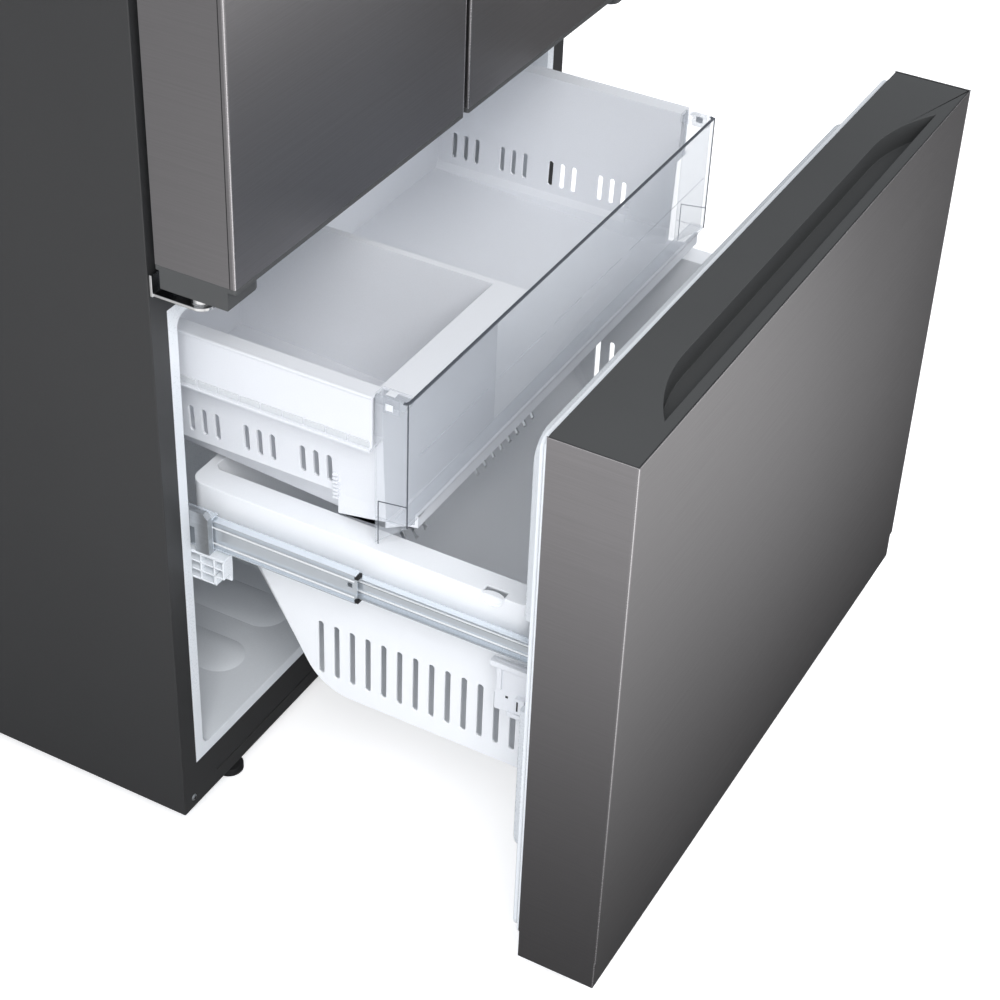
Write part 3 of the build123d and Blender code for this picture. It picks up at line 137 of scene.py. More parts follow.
def mixNode(tree, kind, factor, a, b):
    # a where the factor is 0 and b where it is 1, each a colour's numbers or a socket
    node = tree.nodes.new("ShaderNodeMix")
    node.data_type = kind
    tree.links.new(factor, node.inputs["Factor"])
    for label, value in (("A", a), ("B", b)):
        if isinstance(value, tuple):
            node.inputs[label].default_value = value
        else:
            tree.links.new(value, node.inputs[label])
    return node.outputs["Result"]


# the patterns' own inputs, the detail and roughness of their noises, their stretch along x, y and z, the
# shares in which they add up, and the ends of their ranges
patternShapes = {
    "grain": {"inputs": {"Cloud Scale": 5.0, "Grain Scale": 900.0}, "cloudNoise": (4, 0.55),
              "grainNoise": (2, 0.5), "specks": (0.35, 0.65), "shares": (0.75, 0.25)},
    "brushed": {"inputs": {"Line Scale": 1.0, "Cloud Scale": 3.0}, "coarse": (5, 5, 700),
                "coarseNoise": (3, 0.6), "fine": (22, 22, 2600), "fineNoise": (2, 0.5),
                "lines": (0.55, 0.45), "cloudNoise": (3, 0.5), "shares": (0.8, 0.2),
                "contrast": (0.3, 0.7)},
    "rolled": {"inputs": {"Streak Scale": 1.0, "Crystal Scale": 55.0}, "streaks": (260, 4, 260),
               "streakNoise": (3, 0.6), "shares": (0.7, 0.3)},
    "dust": {"inputs": {"Amount": 0.2, "Patch Scale": 7.0}, "upward": (0.6, 1.0), "patchNoise": (6, 0.65),
             "patches": (0.35, 0.75), "least": 0.2},
}


def grainGroup(s):
    # moulded or sprayed skin: slow clouds for the mask, fine orange peel for the height
    group, given, out, place = newGroup("mouldedGrain", s["inputs"])
    clouds = noiseNode(group, place, *s["cloudNoise"], given["Cloud Scale"])
    grain = noiseNode(group, place, *s["grainNoise"], given["Grain Scale"])
    specks = rangeNode(group, grain, *s["specks"], 0.0, 1.0)
    group.links.new(sharedSum(group, clouds, specks, s["shares"]), out["Mask"])
    group.links.new(grain, out["Height"])
    return group


def brushedGroup(s):
    # brushing: noise drawn out along x and y, so its lines lie level round the fronts and their sides
    group, given, out, place = newGroup("levelBrushing", s["inputs"])
    coarse, fine = (noiseNode(group, stretched(group, place, s[kind]), *s[kind + "Noise"],
                              given["Line Scale"]) for kind in ("coarse", "fine"))
    clouds = noiseNode(group, place, *s["cloudNoise"], given["Cloud Scale"])
    lines = sharedSum(group, coarse, fine, s["lines"])
    both = sharedSum(group, lines, clouds, s["shares"])
    group.links.new(rangeNode(group, both, *s["contrast"], 0.0, 1.0), out["Mask"])
    group.links.new(lines, out["Height"])
    return group


def rolledGroup(s):
    # rolled and zinc-coated strip: drawn streaks along y with crystal patches
    group, given, out, place = newGroup("rolledZinc", s["inputs"])
    streaks = noiseNode(group, stretched(group, place, s["streaks"]), *s["streakNoise"],
                        given["Streak Scale"])
    crystal = group.nodes.new("ShaderNodeTexVoronoi")
    group.links.new(place, crystal.inputs["Vector"])
    group.links.new(given["Crystal Scale"], crystal.inputs["Scale"])
    tone = group.nodes.new("ShaderNodeSeparateColor")
    group.links.new(crystal.outputs["Color"], tone.inputs["Color"])
    group.links.new(sharedSum(group, streaks, tone.outputs[0], s["shares"]), out["Mask"])
    group.links.new(streaks, out["Height"])
    return group


def dustGroup(s):
    # dust lies on faces that look up, thicker in slow patches
    group, given, out, place = newGroup("settledDust", s["inputs"])
    turn = group.nodes.new("ShaderNodeNewGeometry")
    parts = group.nodes.new("ShaderNodeSeparateXYZ")
    group.links.new(turn.outputs["Normal"], parts.inputs["Vector"])
    upward = rangeNode(group, parts.outputs["Z"], *s["upward"], 0.0, 1.0)
    patches = noiseNode(group, place, *s["patchNoise"], given["Patch Scale"])
    laid = mathNode(group, "MULTIPLY", upward, rangeNode(group, patches, *s["patches"], s["least"], 1.0))
    group.links.new(mathNode(group, "MULTIPLY", laid, given["Amount"]), out["Mask"])
    group.links.new(patches, out["Height"])
    return group


patternMakers = {"grain": grainGroup, "brushed": brushedGroup, "rolled": rolledGroup, "dust": dustGroup}
patterns = {name: make(patternShapes[name]) for name, make in patternMakers.items()}
print("shader groups:", sorted(patterns))

# colour and how far its tone spreads either way, roughness and its spread, metallic, the pattern and its
# two scales, the bump's depth in metres and the share of dust
finishLooks = {
    "shell_paint": dict(colour=(0.034, 0.034, 0.035), spread=0.10, rough=0.46, roughSpread=0.06, metal=0.0,
                        pattern="grain", scales=(3.0, 1100.0), bump=0.00003, dust=0.04),
    "galvanised": dict(colour=(0.52, 0.54, 0.56), spread=0.20, rough=0.36, roughSpread=0.12, metal=0.9,
                       pattern="rolled", scales=(1.0, 70.0), bump=0.00002, dust=0.02),
    "front_steel": dict(colour=(0.262, 0.253, 0.260), spread=0.045, rough=0.34, roughSpread=0.04, metal=0.94,
                        pattern="brushed", scales=(1.0, 2.5), bump=0.000006, dust=0.0),
    # painted highlight: the front steel made lighter and glossier, for the thin rods along its folded edges
    # where the bends catch the light
    "hem_highlight_steel": dict(colour=(0.62, 0.60, 0.61), spread=0.06, rough=0.26, roughSpread=0.05, metal=0.9,
                      pattern="brushed", scales=(1.0, 2.5), bump=0.000006, dust=0.0),
    "cap_plastic": dict(colour=(0.070, 0.072, 0.073), spread=0.07, rough=0.50, roughSpread=0.05, metal=0.0,
                        pattern="grain", scales=(6.0, 1500.0), bump=0.00002, dust=0.01),
    "white_liner": dict(colour=(0.80, 0.83, 0.865), spread=0.035, rough=0.30, roughSpread=0.06, metal=0.0,
                        pattern="grain", scales=(4.0, 420.0), bump=0.00002, dust=0.0),
    "white_bin": dict(colour=(0.80, 0.815, 0.85), spread=0.035, rough=0.36, roughSpread=0.06, metal=0.0,
                      pattern="grain", scales=(7.0, 700.0), bump=0.00002, dust=0.0),
    # painted light: a lighter copy of the bin's white plastic, to lift the shade inside the basket
    "basket_white": dict(colour=(0.90, 0.915, 0.94), spread=0.03, rough=0.34, roughSpread=0.06, metal=0.0,
                         pattern="grain", scales=(7.0, 700.0), bump=0.00002, dust=0.0),
    "black_rubber": dict(colour=(0.012, 0.012, 0.013), spread=0.3, rough=0.62, roughSpread=0.08, metal=0.0,
                         pattern="grain", scales=(30.0, 900.0), bump=0.00003, dust=0.0),
    "white_seal": dict(colour=(0.66, 0.68, 0.70), spread=0.05, rough=0.55, roughSpread=0.06, metal=0.0,
                       pattern="grain", scales=(14.0, 900.0), bump=0.00003, dust=0.0),
    # painted highlight: the slide steel made lighter and less metallic, for the rods along the lips that
    # catch the light
    "slide_lip_highlight": dict(colour=(0.93, 0.95, 0.97), spread=0.03, rough=0.25, roughSpread=0.04, metal=0.35,
                      pattern="rolled", scales=(0.5, 40.0), bump=0.000003, dust=0.0),
    "slide_steel": dict(colour=(0.80, 0.85, 0.90), spread=0.05, rough=0.24, roughSpread=0.05, metal=0.72,
                        pattern="rolled", scales=(0.5, 40.0), bump=0.000003, dust=0.0),
    "hinge_chrome": dict(colour=(0.66, 0.66, 0.665), spread=0.08, rough=0.14, roughSpread=0.08, metal=1.0,
                         pattern="rolled", scales=(0.6, 240.0), bump=0.000006, dust=0.0),
    "foot_plastic": dict(colour=(0.014, 0.014, 0.015), spread=0.3, rough=0.48, roughSpread=0.08, metal=0.0,
                         pattern="grain", scales=(25.0, 1200.0), bump=0.00003, dust=0.02),
    "compressor_paint": dict(colour=(0.012, 0.012, 0.013), spread=0.25, rough=0.32, roughSpread=0.1,
                             metal=0.0, pattern="grain", scales=(15.0, 500.0), bump=0.00004, dust=0.08),
    "foam": dict(colour=(0.66, 0.55, 0.30), spread=0.18, rough=0.85, roughSpread=0.05, metal=0.0,
                 pattern="grain", scales=(25.0, 650.0), bump=0.0004, dust=0.0),
    "fin_metal": dict(colour=(0.60, 0.61, 0.62), spread=0.15, rough=0.32, roughSpread=0.1, metal=1.0,
                      pattern="rolled", scales=(0.8, 120.0), bump=0.00001, dust=0.04),
    "fan_plastic": dict(colour=(0.03, 0.03, 0.032), spread=0.15, rough=0.5, roughSpread=0.06, metal=0.0,
                        pattern="grain", scales=(20.0, 900.0), bump=0.00002, dust=0.05),
}
# see-through finishes: the alpha of a face seen square on and of one seen along its surface
clearLooks = {
    "clear_plastic": dict(colour=(0.74, 0.78, 0.84), square=0.13, grazing=0.42, rough=0.06),
    "shelf_glass": dict(colour=(0.55, 0.70, 0.68), square=0.16, grazing=0.75, rough=0.04),
    # painted shade: a dark, nearly opaque finish for the clear plastic's edges, which look dark from how
    # light bends in them
    "clear_edge_shade": dict(colour=(0.10, 0.11, 0.13), square=0.86, grazing=0.95, rough=0.25),
}


# what all finishes share: the dust's colour and patches, the bump, and the skin of see-through ones
finishShape = {
    "dustColour": (0.42, 0.41, 0.39, 1), "dustPatches": 7.0, "bumpStrength": 0.6,
    "clearScales": (9.0, 300.0), "clearSpread": 0.04, "clearRoughSpread": 0.03,
    "clearFacing": (0.1, 1.0), "clearBlend": 0.35, "clearIndex": 1.49,
}


def scaledColour(colour, factor):
    return (*[min(1.0, c * factor) for c in colour], 1)


def patternNode(tree, pattern, numbers):
    node = tree.nodes.new("ShaderNodeGroup")
    node.node_tree = patterns[pattern]
    node.inputs[0].default_value, node.inputs[1].default_value = numbers
    return node.outputs


def newMaterial(name):
    material = bpy.data.materials.new(name)
    material.use_nodes = True
    tree = material.node_tree
    return material, tree, tree.nodes["Principled BSDF"].inputs


def tonedColour(tree, mask, colour, spread):
    # the colour times 1 - spread where the mask is 0, times 1 + spread where it is 1
    return mixNode(tree, "RGBA", mask, scaledColour(colour, 1 - spread), scaledColour(colour, 1 + spread))


def solidFinish(name, look):
    material, tree, inputs = newMaterial(name)
    skin = patternNode(tree, look["pattern"], look["scales"])
    colour = tonedColour(tree, skin["Mask"], look["colour"], look["spread"])
    if look["dust"]:
        dust = patternNode(tree, "dust", (look["dust"], finishShape["dustPatches"]))
        colour = mixNode(tree, "RGBA", dust["Mask"], colour, finishShape["dustColour"])
    tree.links.new(colour, inputs["Base Color"])
    rough = rangeNode(tree, skin["Mask"], 0.0, 1.0, look["rough"] + look["roughSpread"],
                      look["rough"] - look["roughSpread"])
    tree.links.new(rough, inputs["Roughness"])
    inputs["Metallic"].default_value = look["metal"]
    bump = tree.nodes.new("ShaderNodeBump")
    bump.inputs["Strength"].default_value = finishShape["bumpStrength"]
    bump.inputs["Distance"].default_value = look["bump"]
    tree.links.new(skin["Height"], bump.inputs["Height"])
    tree.links.new(bump.outputs["Normal"], inputs["Normal"])
    return material


def clearFinish(name, look):
    material, tree, inputs = newMaterial(name)
    skin = patternNode(tree, "grain", finishShape["clearScales"])
    tree.links.new(tonedColour(tree, skin["Mask"], look["colour"], finishShape["clearSpread"]),
                   inputs["Base Color"])
    rough = rangeNode(tree, skin["Mask"], 0.0, 1.0, look["rough"] + finishShape["clearRoughSpread"],
                      look["rough"])
    tree.links.new(rough, inputs["Roughness"])
    layer = tree.nodes.new("ShaderNodeLayerWeight")
    layer.inputs["Blend"].default_value = finishShape["clearBlend"]
    alpha = rangeNode(tree, layer.outputs["Facing"], *finishShape["clearFacing"], look["square"],
                      look["grazing"])
    tree.links.new(alpha, inputs["Alpha"])
    inputs["IOR"].default_value = finishShape["clearIndex"]
    return material


finishes = {name: solidFinish(name, look) for name, look in finishLooks.items()}
finishes.update({name: clearFinish(name, look) for name, look in clearLooks.items()})
# moulded pieces that are finished like the brushed front beside them
steelToo = ("drawer_bottom_cap",)
for name, item in nodes.items():
    made = item.material_slots[0].material.name.split(".")[0]
    item.material_slots[0].material = finishes["front_steel" if name in steelToo else made]
print("finishes:", len(finishes))


meshSettings = {
    "mergeMade": 2e-6,           # metres between doubles that merge, in pieces made here
    "mergeCad": 5e-6,            # and in copies of CAD nodes
    "joinAngle": 0.6,            # degrees between flat faces that join into one
    "bevelSegments": 2,
    "tiny": 1e-9,                # keeps a length from being 0
    "leastCos": 0.2,             # a swept corner is stretched to 1 / 0.2 of its width at most
}


def blockArrays(boxes):
    # each box is (low corner, high corner); its 8 corners are low + (high - low) times the unit cube's
    boxes = np.asarray(boxes, float).reshape(-1, 2, 3)
    unit = np.array([[i & 1, (i >> 1) & 1, (i >> 2) & 1] for i in range(8)], float)
    points = boxes[:, None, 0] + (boxes[:, None, 1] - boxes[:, None, 0]) * unit[None]
    sides = np.array([[0, 2, 3, 1], [4, 5, 7, 6], [0, 1, 5, 4], [2, 6, 7, 3], [0, 4, 6, 2], [1, 3, 7, 5]])
    faces = sides[None] + 8 * np.arange(len(boxes))[:, None, None]
    return points.reshape(-1, 3), faces.reshape(-1, 4)


def gridArrays(points, closeRows=False, closeCols=False):
    # a grid of points (rows, cols, 3) becomes quads between neighbours, round again where it closes
    rows, cols = points.shape[:2]
    i = np.arange(rows if closeRows else rows - 1)[:, None]
    j = np.arange(cols if closeCols else cols - 1)[None]
    a, b = i * cols + j, i * cols + (j + 1) % cols
    c, d = ((i + 1) % rows) * cols + (j + 1) % cols, ((i + 1) % rows) * cols + j
    return points.reshape(-1, 3), np.stack([a, b, c, d], -1).reshape(-1, 4)


def latheArrays(profile, centre, axis, turns):
    # a point (r, h) of the profile goes round the axis: r cos t, r sin t across it and h along it
    r, h = np.asarray(profile, float).T
    t = np.linspace(0, 2 * math.pi, turns, endpoint=False)
    across = np.stack([r[:, None] * np.cos(t), r[:, None] * np.sin(t),
                       np.repeat(h[:, None], turns, 1)], -1)
    order = {"z": (0, 1, 2), "y": (0, 2, 1), "x": (2, 0, 1)}[axis]
    return gridArrays(across[..., order] + np.asarray(centre, float), closeCols=True)


def sweepArrays(path, outline, normal, closed=False):
    # the outline (out, up) stands across the path: up along the normal, out along tangent x normal,
    # stretched at each corner by 1 / cos of half its turn, so the sides stay parallel
    path, outline = np.asarray(path, float), np.asarray(outline, float)
    normal = np.asarray(normal, float) / np.linalg.norm(normal)
    tiny, leastCos = meshSettings["tiny"], meshSettings["leastCos"]
    step = np.roll(path, -1, 0) - path
    step /= np.maximum(np.linalg.norm(step, axis=1, keepdims=True), tiny)
    before = np.roll(step, 1, 0)
    if not closed:
        step[-1], before[0] = step[-2], step[0]
    tangent = step + before
    tangent /= np.maximum(np.linalg.norm(tangent, axis=1, keepdims=True), tiny)
    out = np.cross(tangent, normal) / np.clip((tangent * step).sum(1), leastCos, 1)[:, None]
    points = path[:, None] + out[:, None] * outline[None, :, :1] + normal * outline[None, :, 1:]
    if not closed:      # each end closes on the middle of its outline
        ends = np.repeat(points[[0, -1]].mean(1, keepdims=True), len(outline), 1)
        points = np.concatenate([ends[:1], points, ends[1:]])
    return gridArrays(points, closeRows=closed, closeCols=True)


def roundedLoop(a0, a1, b0, b1, radius, steps=8):
    # a rectangle's outline with a quarter circle of the radius at each corner, as (a, b) points
    t = np.linspace(0, math.pi / 2, steps)
    arc = np.stack([np.cos(t), np.sin(t)], -1) * radius
    corners = [(a1 - radius, b1 - radius), (a0 + radius, b1 - radius),
               (a0 + radius, b0 + radius), (a1 - radius, b0 + radius)]
    turns = [np.array([[1, 0], [0, 1]]), np.array([[0, 1], [-1, 0]]),
             np.array([[-1, 0], [0, -1]]), np.array([[0, -1], [1, 0]])]
    return np.concatenate([arc @ turn + corner for turn, corner in zip(turns, corners)])


def mirrorX(arrays):
    vertices, faces = arrays
    return vertices * (-1, 1, 1), faces[:, ::-1]


def bothSides(*parts):
    return [*parts, *(mirrorX(part) for part in parts)]


def atLevels(box, levels):
    # the same box again at each level that its z is counted from
    return [np.asarray(box, float) + (0, 0, level) for level in levels]


frameOrigin = (0, 45.5, 0)      # mm: the place of the frame's origin, y counted from the cabinet's front


def toFrame(points):
    # from mm, y counted from the cabinet's front, to the frame's metres
    return (points - frameOrigin) * 0.001


def fromFrame(points):
    return points * 1000 + frameOrigin


def makePiece(name, parts, body, slot, finish=None, bevel=0.0, sharp=35, replaced=()):
    # parts are (vertices, faces) in mm; doubles merge so that seams and poles close, then normals
    # turn outwards
    vertices, faces, count = [], [], 0
    for points, quads in parts:
        vertices.append(toFrame(points))
        faces.append(quads + count)
        count += len(points)
    mesh = bpy.data.meshes.new(name)
    mesh.from_pydata(np.concatenate(vertices).tolist(), [], np.concatenate(faces).tolist())
    made = bmesh.new()
    made.from_mesh(mesh)
    bmesh.ops.remove_doubles(made, verts=made.verts, dist=meshSettings["mergeMade"])
    bmesh.ops.recalc_face_normals(made, faces=made.faces)
    made.to_mesh(mesh)
    made.free()
    placePiece(name, mesh, body, slot, finish, bevel, sharp, replaced)


def placePiece(name, mesh, body, slot, finish, bevel, sharp, replaced):
    # bevel is in metres; edges of more than sharp degrees keep an edge in the shading
    mesh.polygons.foreach_set("use_smooth", [True] * len(mesh.polygons))
    mesh.set_sharp_from_angle(angle=math.radians(sharp))
    piece = bpy.data.objects.new(name, mesh)
    bpy.context.scene.collection.objects.link(piece)
    mesh.materials.clear()
    mesh.materials.append(finishes[finish or slot])
    if bevel:
        edge = piece.modifiers.new("softEdge", "BEVEL")
        edge.width, edge.segments, edge.limit_method = bevel, meshSettings["bevelSegments"], "ANGLE"
        edge.harden_normals = True
    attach(piece, body)
    if replaced:
        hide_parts(*replaced)


def smoothCopy(node, body, slot, bevel=0.0, reshape=None, sharp=32, finish=None):
    # the CAD node's own surface: its loose triangles merge and its flat faces join, so that curved
    # faces shade as one and a Bevel can soften the real edges; reshape moves its points first, in mm
    mesh = nodes[node].data.copy()
    if reshape:
        points = np.empty(len(mesh.vertices) * 3)
        mesh.vertices.foreach_get("co", points)
        points = fromFrame(points.reshape(-1, 3))
        reshape(points)
        mesh.vertices.foreach_set("co", toFrame(points).ravel())
    made = bmesh.new()
    made.from_mesh(mesh)
    bmesh.ops.remove_doubles(made, verts=made.verts, dist=meshSettings["mergeCad"])
    bmesh.ops.dissolve_limit(made, angle_limit=math.radians(meshSettings["joinAngle"]), verts=made.verts,
                             edges=made.edges)
    made.to_mesh(mesh)
    made.free()
    if mesh.has_custom_normals:
        attribute = mesh.attributes.get("custom_normal")
        if attribute:
            mesh.attributes.remove(attribute)
    placePiece(node + "_finished", mesh, body, slot, finish, bevel, sharp, (node,))


# how reshaped copies differ from the CAD, in mm with y counted from the cabinet's front
linerShape = {
    "floor": 110.0, "ribTop": 113.2,       # the CAD's square ribs go down, round ones stand there instead
    "ribsOut": 310.0, "ribsAlong": (40.0, 230.0),
    "ledge": (595.5, 606.5), "ledgeOut": 411.0,
    "cadEdge": 370.0, "ledgeEdge": 377.0,  # half the width between the ledges, in the CAD and here
    "cadStart": 20.0, "ledgeStart": 34.0,  # and their front ends
    "near": 0.5, "above": 0.05,            # how close a point has to be, and how far above the floor
}
basketShape = {"rim": 470.0, "rimDrop": 22.0, "rear": -6.0, "rearShift": 8.0}
trayShape = {"foot": 507.0, "footAlong": (-250.0, -150.0), "footDrop": 19.0}
hingeShape = {"upright": 780.0, "top": 784.0}


def reshapeLiner(points):
    s = linerShape
    x, y, z = points.T
    (front, rear), (low, high) = s["ribsAlong"], s["ledge"]
    ribs = (np.abs(x) < s["ribsOut"]) & (y > front) & (y < rear)
    z[ribs & (z > s["floor"] + s["above"]) & (z < s["ribTop"])] = s["floor"]
    # the ledges under the tray's rims stay clear of the drawer's ring and of the tray's clear front
    ledge = (z > low) & (z < high) & (np.abs(x) < s["ledgeOut"])
    edge = ledge & (np.abs(np.abs(x) - s["cadEdge"]) < s["near"])
    x[edge] = np.sign(x[edge]) * s["ledgeEdge"]
    y[ledge & (np.abs(y - s["cadStart"]) < s["near"])] = s["ledgeStart"]


def deepenTrayFoot(points):
    # behind its front strip the foot under the tray reaches down to just above the basket's rim
    y, z = points[:, 1], points[:, 2]
    front, rear = trayShape["footAlong"]
    z[(z < trayShape["foot"]) & (y > front) & (y < rear)] -= trayShape["footDrop"]


def lowerBasketRim(points):
    # the rim lies nearer the slides, and the rear end reaches further back
    y, z = points[:, 1], points[:, 2]
    z[z > basketShape["rim"]] -= basketShape["rimDrop"]
    y[y > basketShape["rear"]] += basketShape["rearShift"]


def shortenHinge(points):
    z = points[:, 2]
    z[z > hingeShape["upright"]] = hingeShape["top"]


# node: its body, its slot, how far its edges are softened in metres, and for some what reshapes it,
# the degrees above which an edge stays sharp, and its finish
smoothNodes = {
    # the basket's finish is the lightened copy of the bin's white, painted light
    "basket": ("freezer_drawer", "white_bin", 0.0008, lowerBasketRim, 32, "basket_white"),
    "mid_hinges": ("cabinet", "hinge_chrome", 0.0006, shortenHinge),
    "tray": ("tray", "white_bin", 0.0008, deepenTrayFoot),
    "drawer_handle_cap": ("freezer_drawer", "cap_plastic", 0.0006),
    "drawer_liner": ("freezer_drawer", "white_liner", 0.0),
    "freezer_liner": ("cabinet", "white_liner", 0.0008, reshapeLiner),
    "door_left_cap_bottom": ("left_door", "cap_plastic", 0.0008),
    "door_right_cap_bottom": ("right_door", "cap_plastic", 0.0008),
    "hinge_covers": ("cabinet", "cap_plastic", 0.0015),
    "compressor": ("cabinet", "compressor_paint", 0.0),
    "rear_rollers": ("rear_rollers", "foot_plastic", 0.0005),
}
for node, look in smoothNodes.items():
    smoothCopy(node, *look)
print("smoothed nodes:", len(smoothNodes))

drawerTrim = {
    "ring": (-394, 394, 142, 702, 25),    # inner panel's raised ring: left, right, low, high, corner
    "ringWidth": 11, "ringRound": 3.5,
    "ringDepth": (-412, -452),            # y of its edge and of its root
    "pocket": (352, 478),                 # between these levels it is open for the slides and supports
    # loops round the panel: outline, y, and the bar along it as width, low, high and corner
    "flange": ((-450, 450, 82.5, 747, 5), -451.6, (6, -1.2, 1.6, 0.8)),
    "seal": ((-443.5, 443.5, 86, 743, 9), -446.4, (11, -2.6, 3.9, 1.8)),
    # the pleat's bar is black, painted shade in the fold between the seal's white lips
    "pleat": ((-446, 446, 84.5, 745, 7), -449.5, (8, -0.7, 0.7)),
    # the steel skin's folded top edge, a rod in painted highlight: half width, rear, front and level, with a
    # dark line of painted shade in the seam inside it
    "rim": (453.5, -453, -548.5, 756), "rimBar": (1.1, -0.4, 0.25, 0.2, 3),
    "seamScale": (0.9974, 1, 1), "seamShift": (0, 1.0, -0.35), "seamBar": (1.0, -0.4, 0.12),
    # its folded front corners, rods in painted highlight: half width, y and levels
    "hems": ((453.1, -548.1, (84.6, 400, 755.9)), (451.7, -546.6, (43, 60, 84))),
    "hemRadius": 0.75,
    # the basket's left latch, each block from its low to its high corner, and the slots in it, as black bars
    # of painted shade
    "latch": (((-379.5, -412, 322), (-375, -371, 392)), ((-384, -412, 384), (-374, -366, 391.5)),
              ((-386, -411, 331), (-376, -399, 352)), ((-383, -411, 320), (-376, -388, 326)),
              ((-382.5, -380, 352), (-376, -374, 386))),
    "latchSlots": (((-386.5, -403.5, 336), (-385.6, -401.8, 349)),
                   ((-380.1, -388, 343), (-379.2, -385, 345.5))),
}


def roundRod(radius, turns=10, flat=1.0):
    # a circle of the radius, squeezed along its second direction by flat
    t = np.linspace(0, 2 * math.pi, turns, endpoint=False)
    return np.stack([np.cos(t), flat * np.sin(t)], -1) * radius


def slab(width, low, high, corner=0.0, steps=4):
    # a bar's outline: width across the path, from low to high along the normal, corners rounded
    if corner:
        return roundedLoop(-width / 2, width / 2, low, high, corner, steps)
    return np.array([(width / 2, low), (width / 2, high), (-width / 2, high), (-width / 2, low)], float)


def inPlaneY(loop, y):
    return np.stack([loop[:, 0], np.full(len(loop), y), loop[:, 1]], -1)


def makeDrawerTrim(s):
    left, right = s["ring"][:2]
    (low, high), (back, front) = s["pocket"], s["ringDepth"]
    loop = roundedLoop(*s["ring"])
    half = len(loop) // 2
    top = np.concatenate([[(right, high)], loop[:half], [(left, high)]])
    bottom = np.concatenate([[(left, low)], loop[half:], [(right, low)]])
    bar = slab(s["ringWidth"], front - back, 0, s["ringRound"])
    makePiece("drawer_ring", [sweepArrays(inPlaneY(run, back), bar, (0, 1, 0)) for run in (top, bottom)],
              "freezer_drawer", "white_liner")
    # the pleat is a black bar of painted shade in the seal's fold
    for part, name, slot, finish in (("flange", "drawer_flange", "white_liner", None),
                                     ("seal", "drawer_seal_lip", "white_seal", "white_liner"),
                                     ("pleat", "drawer_seal_pleat_shade", "black_rubber", None)):
        outline, y, bar = s[part]
        makePiece(name, [sweepArrays(inPlaneY(roundedLoop(*outline), y), slab(*bar), (0, 1, 0), True)],
                  "freezer_drawer", slot, finish=finish)
    # the folded top edge: a thin rod in painted highlight steel along the rim
    x, back, front, z = s["rim"]
    rim = np.array([(-x, back, z), (-x, front, z), (x, front, z), (x, back, z)], float)
    makePiece("drawer_rim_hem_highlight", [sweepArrays(rim, slab(*s["rimBar"]), (0, 0, 1))],
              "freezer_drawer", "front_steel", finish="hem_highlight_steel")
    # the seam is a black bar: painted shade in the gap between cap and skin
    seam = rim * s["seamScale"] + s["seamShift"]
    makePiece("drawer_cap_seam_shade", [sweepArrays(seam, slab(*s["seamBar"]), (0, 0, 1))],
              "freezer_drawer", "black_rubber")
    # the folded front corners: thin rods in painted highlight steel
    lines = [[(side * x, y, z) for z in levels] for x, y, levels in s["hems"] for side in (-1, 1)]
    makePiece("drawer_corner_hems",
              [sweepArrays(line, roundRod(s["hemRadius"]), (0, -1, 0)) for line in lines],
              "freezer_drawer", "front_steel", finish="hem_highlight_steel")
    makePiece("basket_latches", bothSides(blockArrays(s["latch"])), "freezer_drawer", "white_bin",
              bevel=0.0011)
    # the slots are black bars: painted shade in the latch's openings
    makePiece("basket_latch_slot_shades", bothSides(blockArrays(s["latchSlots"])), "freezer_drawer",
              "black_rubber")


makeDrawerTrim(drawerTrim)
print("drawer trim made")

basketTrim = {
    "scoop": (-381.2, -365, 465),      # the finger dent at the front of each side: x, y, z
    "scoopRadius": 13.5,
    "scoopDepth": 7,
    "scoopMiddle": 11,                 # how far above z its bowl's middle lies,
    "scoopTop": 12.5,                  # and how far above z it is cut level
    "rings": 8, "turns": 32,
}


def makeBasketTrim(s):
    # a dent is a quarter round bowl: radius r sin a across, depth d cos a inward, a from 0 to 90 degrees
    r, d = s["scoopRadius"], s["scoopDepth"]
    a = np.linspace(0, math.pi / 2, s["rings"])
    x, y, z = s["scoop"]
    profile = np.stack([r * np.sin(a), d * np.cos(a)], -1)
    bowl = latheArrays(profile, (x, y, z + s["scoopMiddle"]), "x", s["turns"])
    bowl[0][:, 2] = np.minimum(bowl[0][:, 2], z + s["scoopTop"])
    makePiece("basket_finger_dents", bothSides(bowl), "freezer_drawer", "white_bin", finish="basket_white",
              sharp=60)


makeBasketTrim(basketTrim)
print("basket trim made")

slideTrim = {
    # the plastic supports: both ends, both levels, outer and inner face, and their walls' thickness
    "supportAlong": (-43.5, 25.5), "supportLevels": (368.6, 407.9), "supportAcross": (-409.6, -391.0),
    "rib": 2.2, "plate": 4, "wall": 3,
    "ribs": 4,                         # this many stand upright and one fewer lie level
    "step": 12,                        # how far the lowest part of the front stands back
    "back": (1, 2), "cover": 2,        # how far ribs stand back from the faces, and end below the top
    # raised lines along the lips, rods in painted highlight: their levels, x and y of the line, and the
    # rod's radius, turns and flatness
    "innerRidges": (424.2, 437.6), "innerLine": (-391.6, (-416, -200, 10)), "innerRod": (1.3, 8, 0.8),
    "middleRidges": (420.0, 441.8), "middleLine": (-400.3, (-207, 0, 236)), "middleRod": (1.1, 8, 0.7),
    # dark strips of painted shadow along the grooves, and end stops: their levels and their box
    "grooveShadowLevels": (421.8, 435.2), "groove": ((-391.3, -416, 0), (-390.7, 10, 0.9)),
    "endStops": (412.5, 445), "stop": ((-400.2, -212, 0), (-391, -207, 4.5)),
}


def slideRidges(levels, line, rod):
    x, along = line
    return [sweepArrays([(x, y, z) for y in along], roundRod(*rod), (1, 0, 0)) for z in levels]


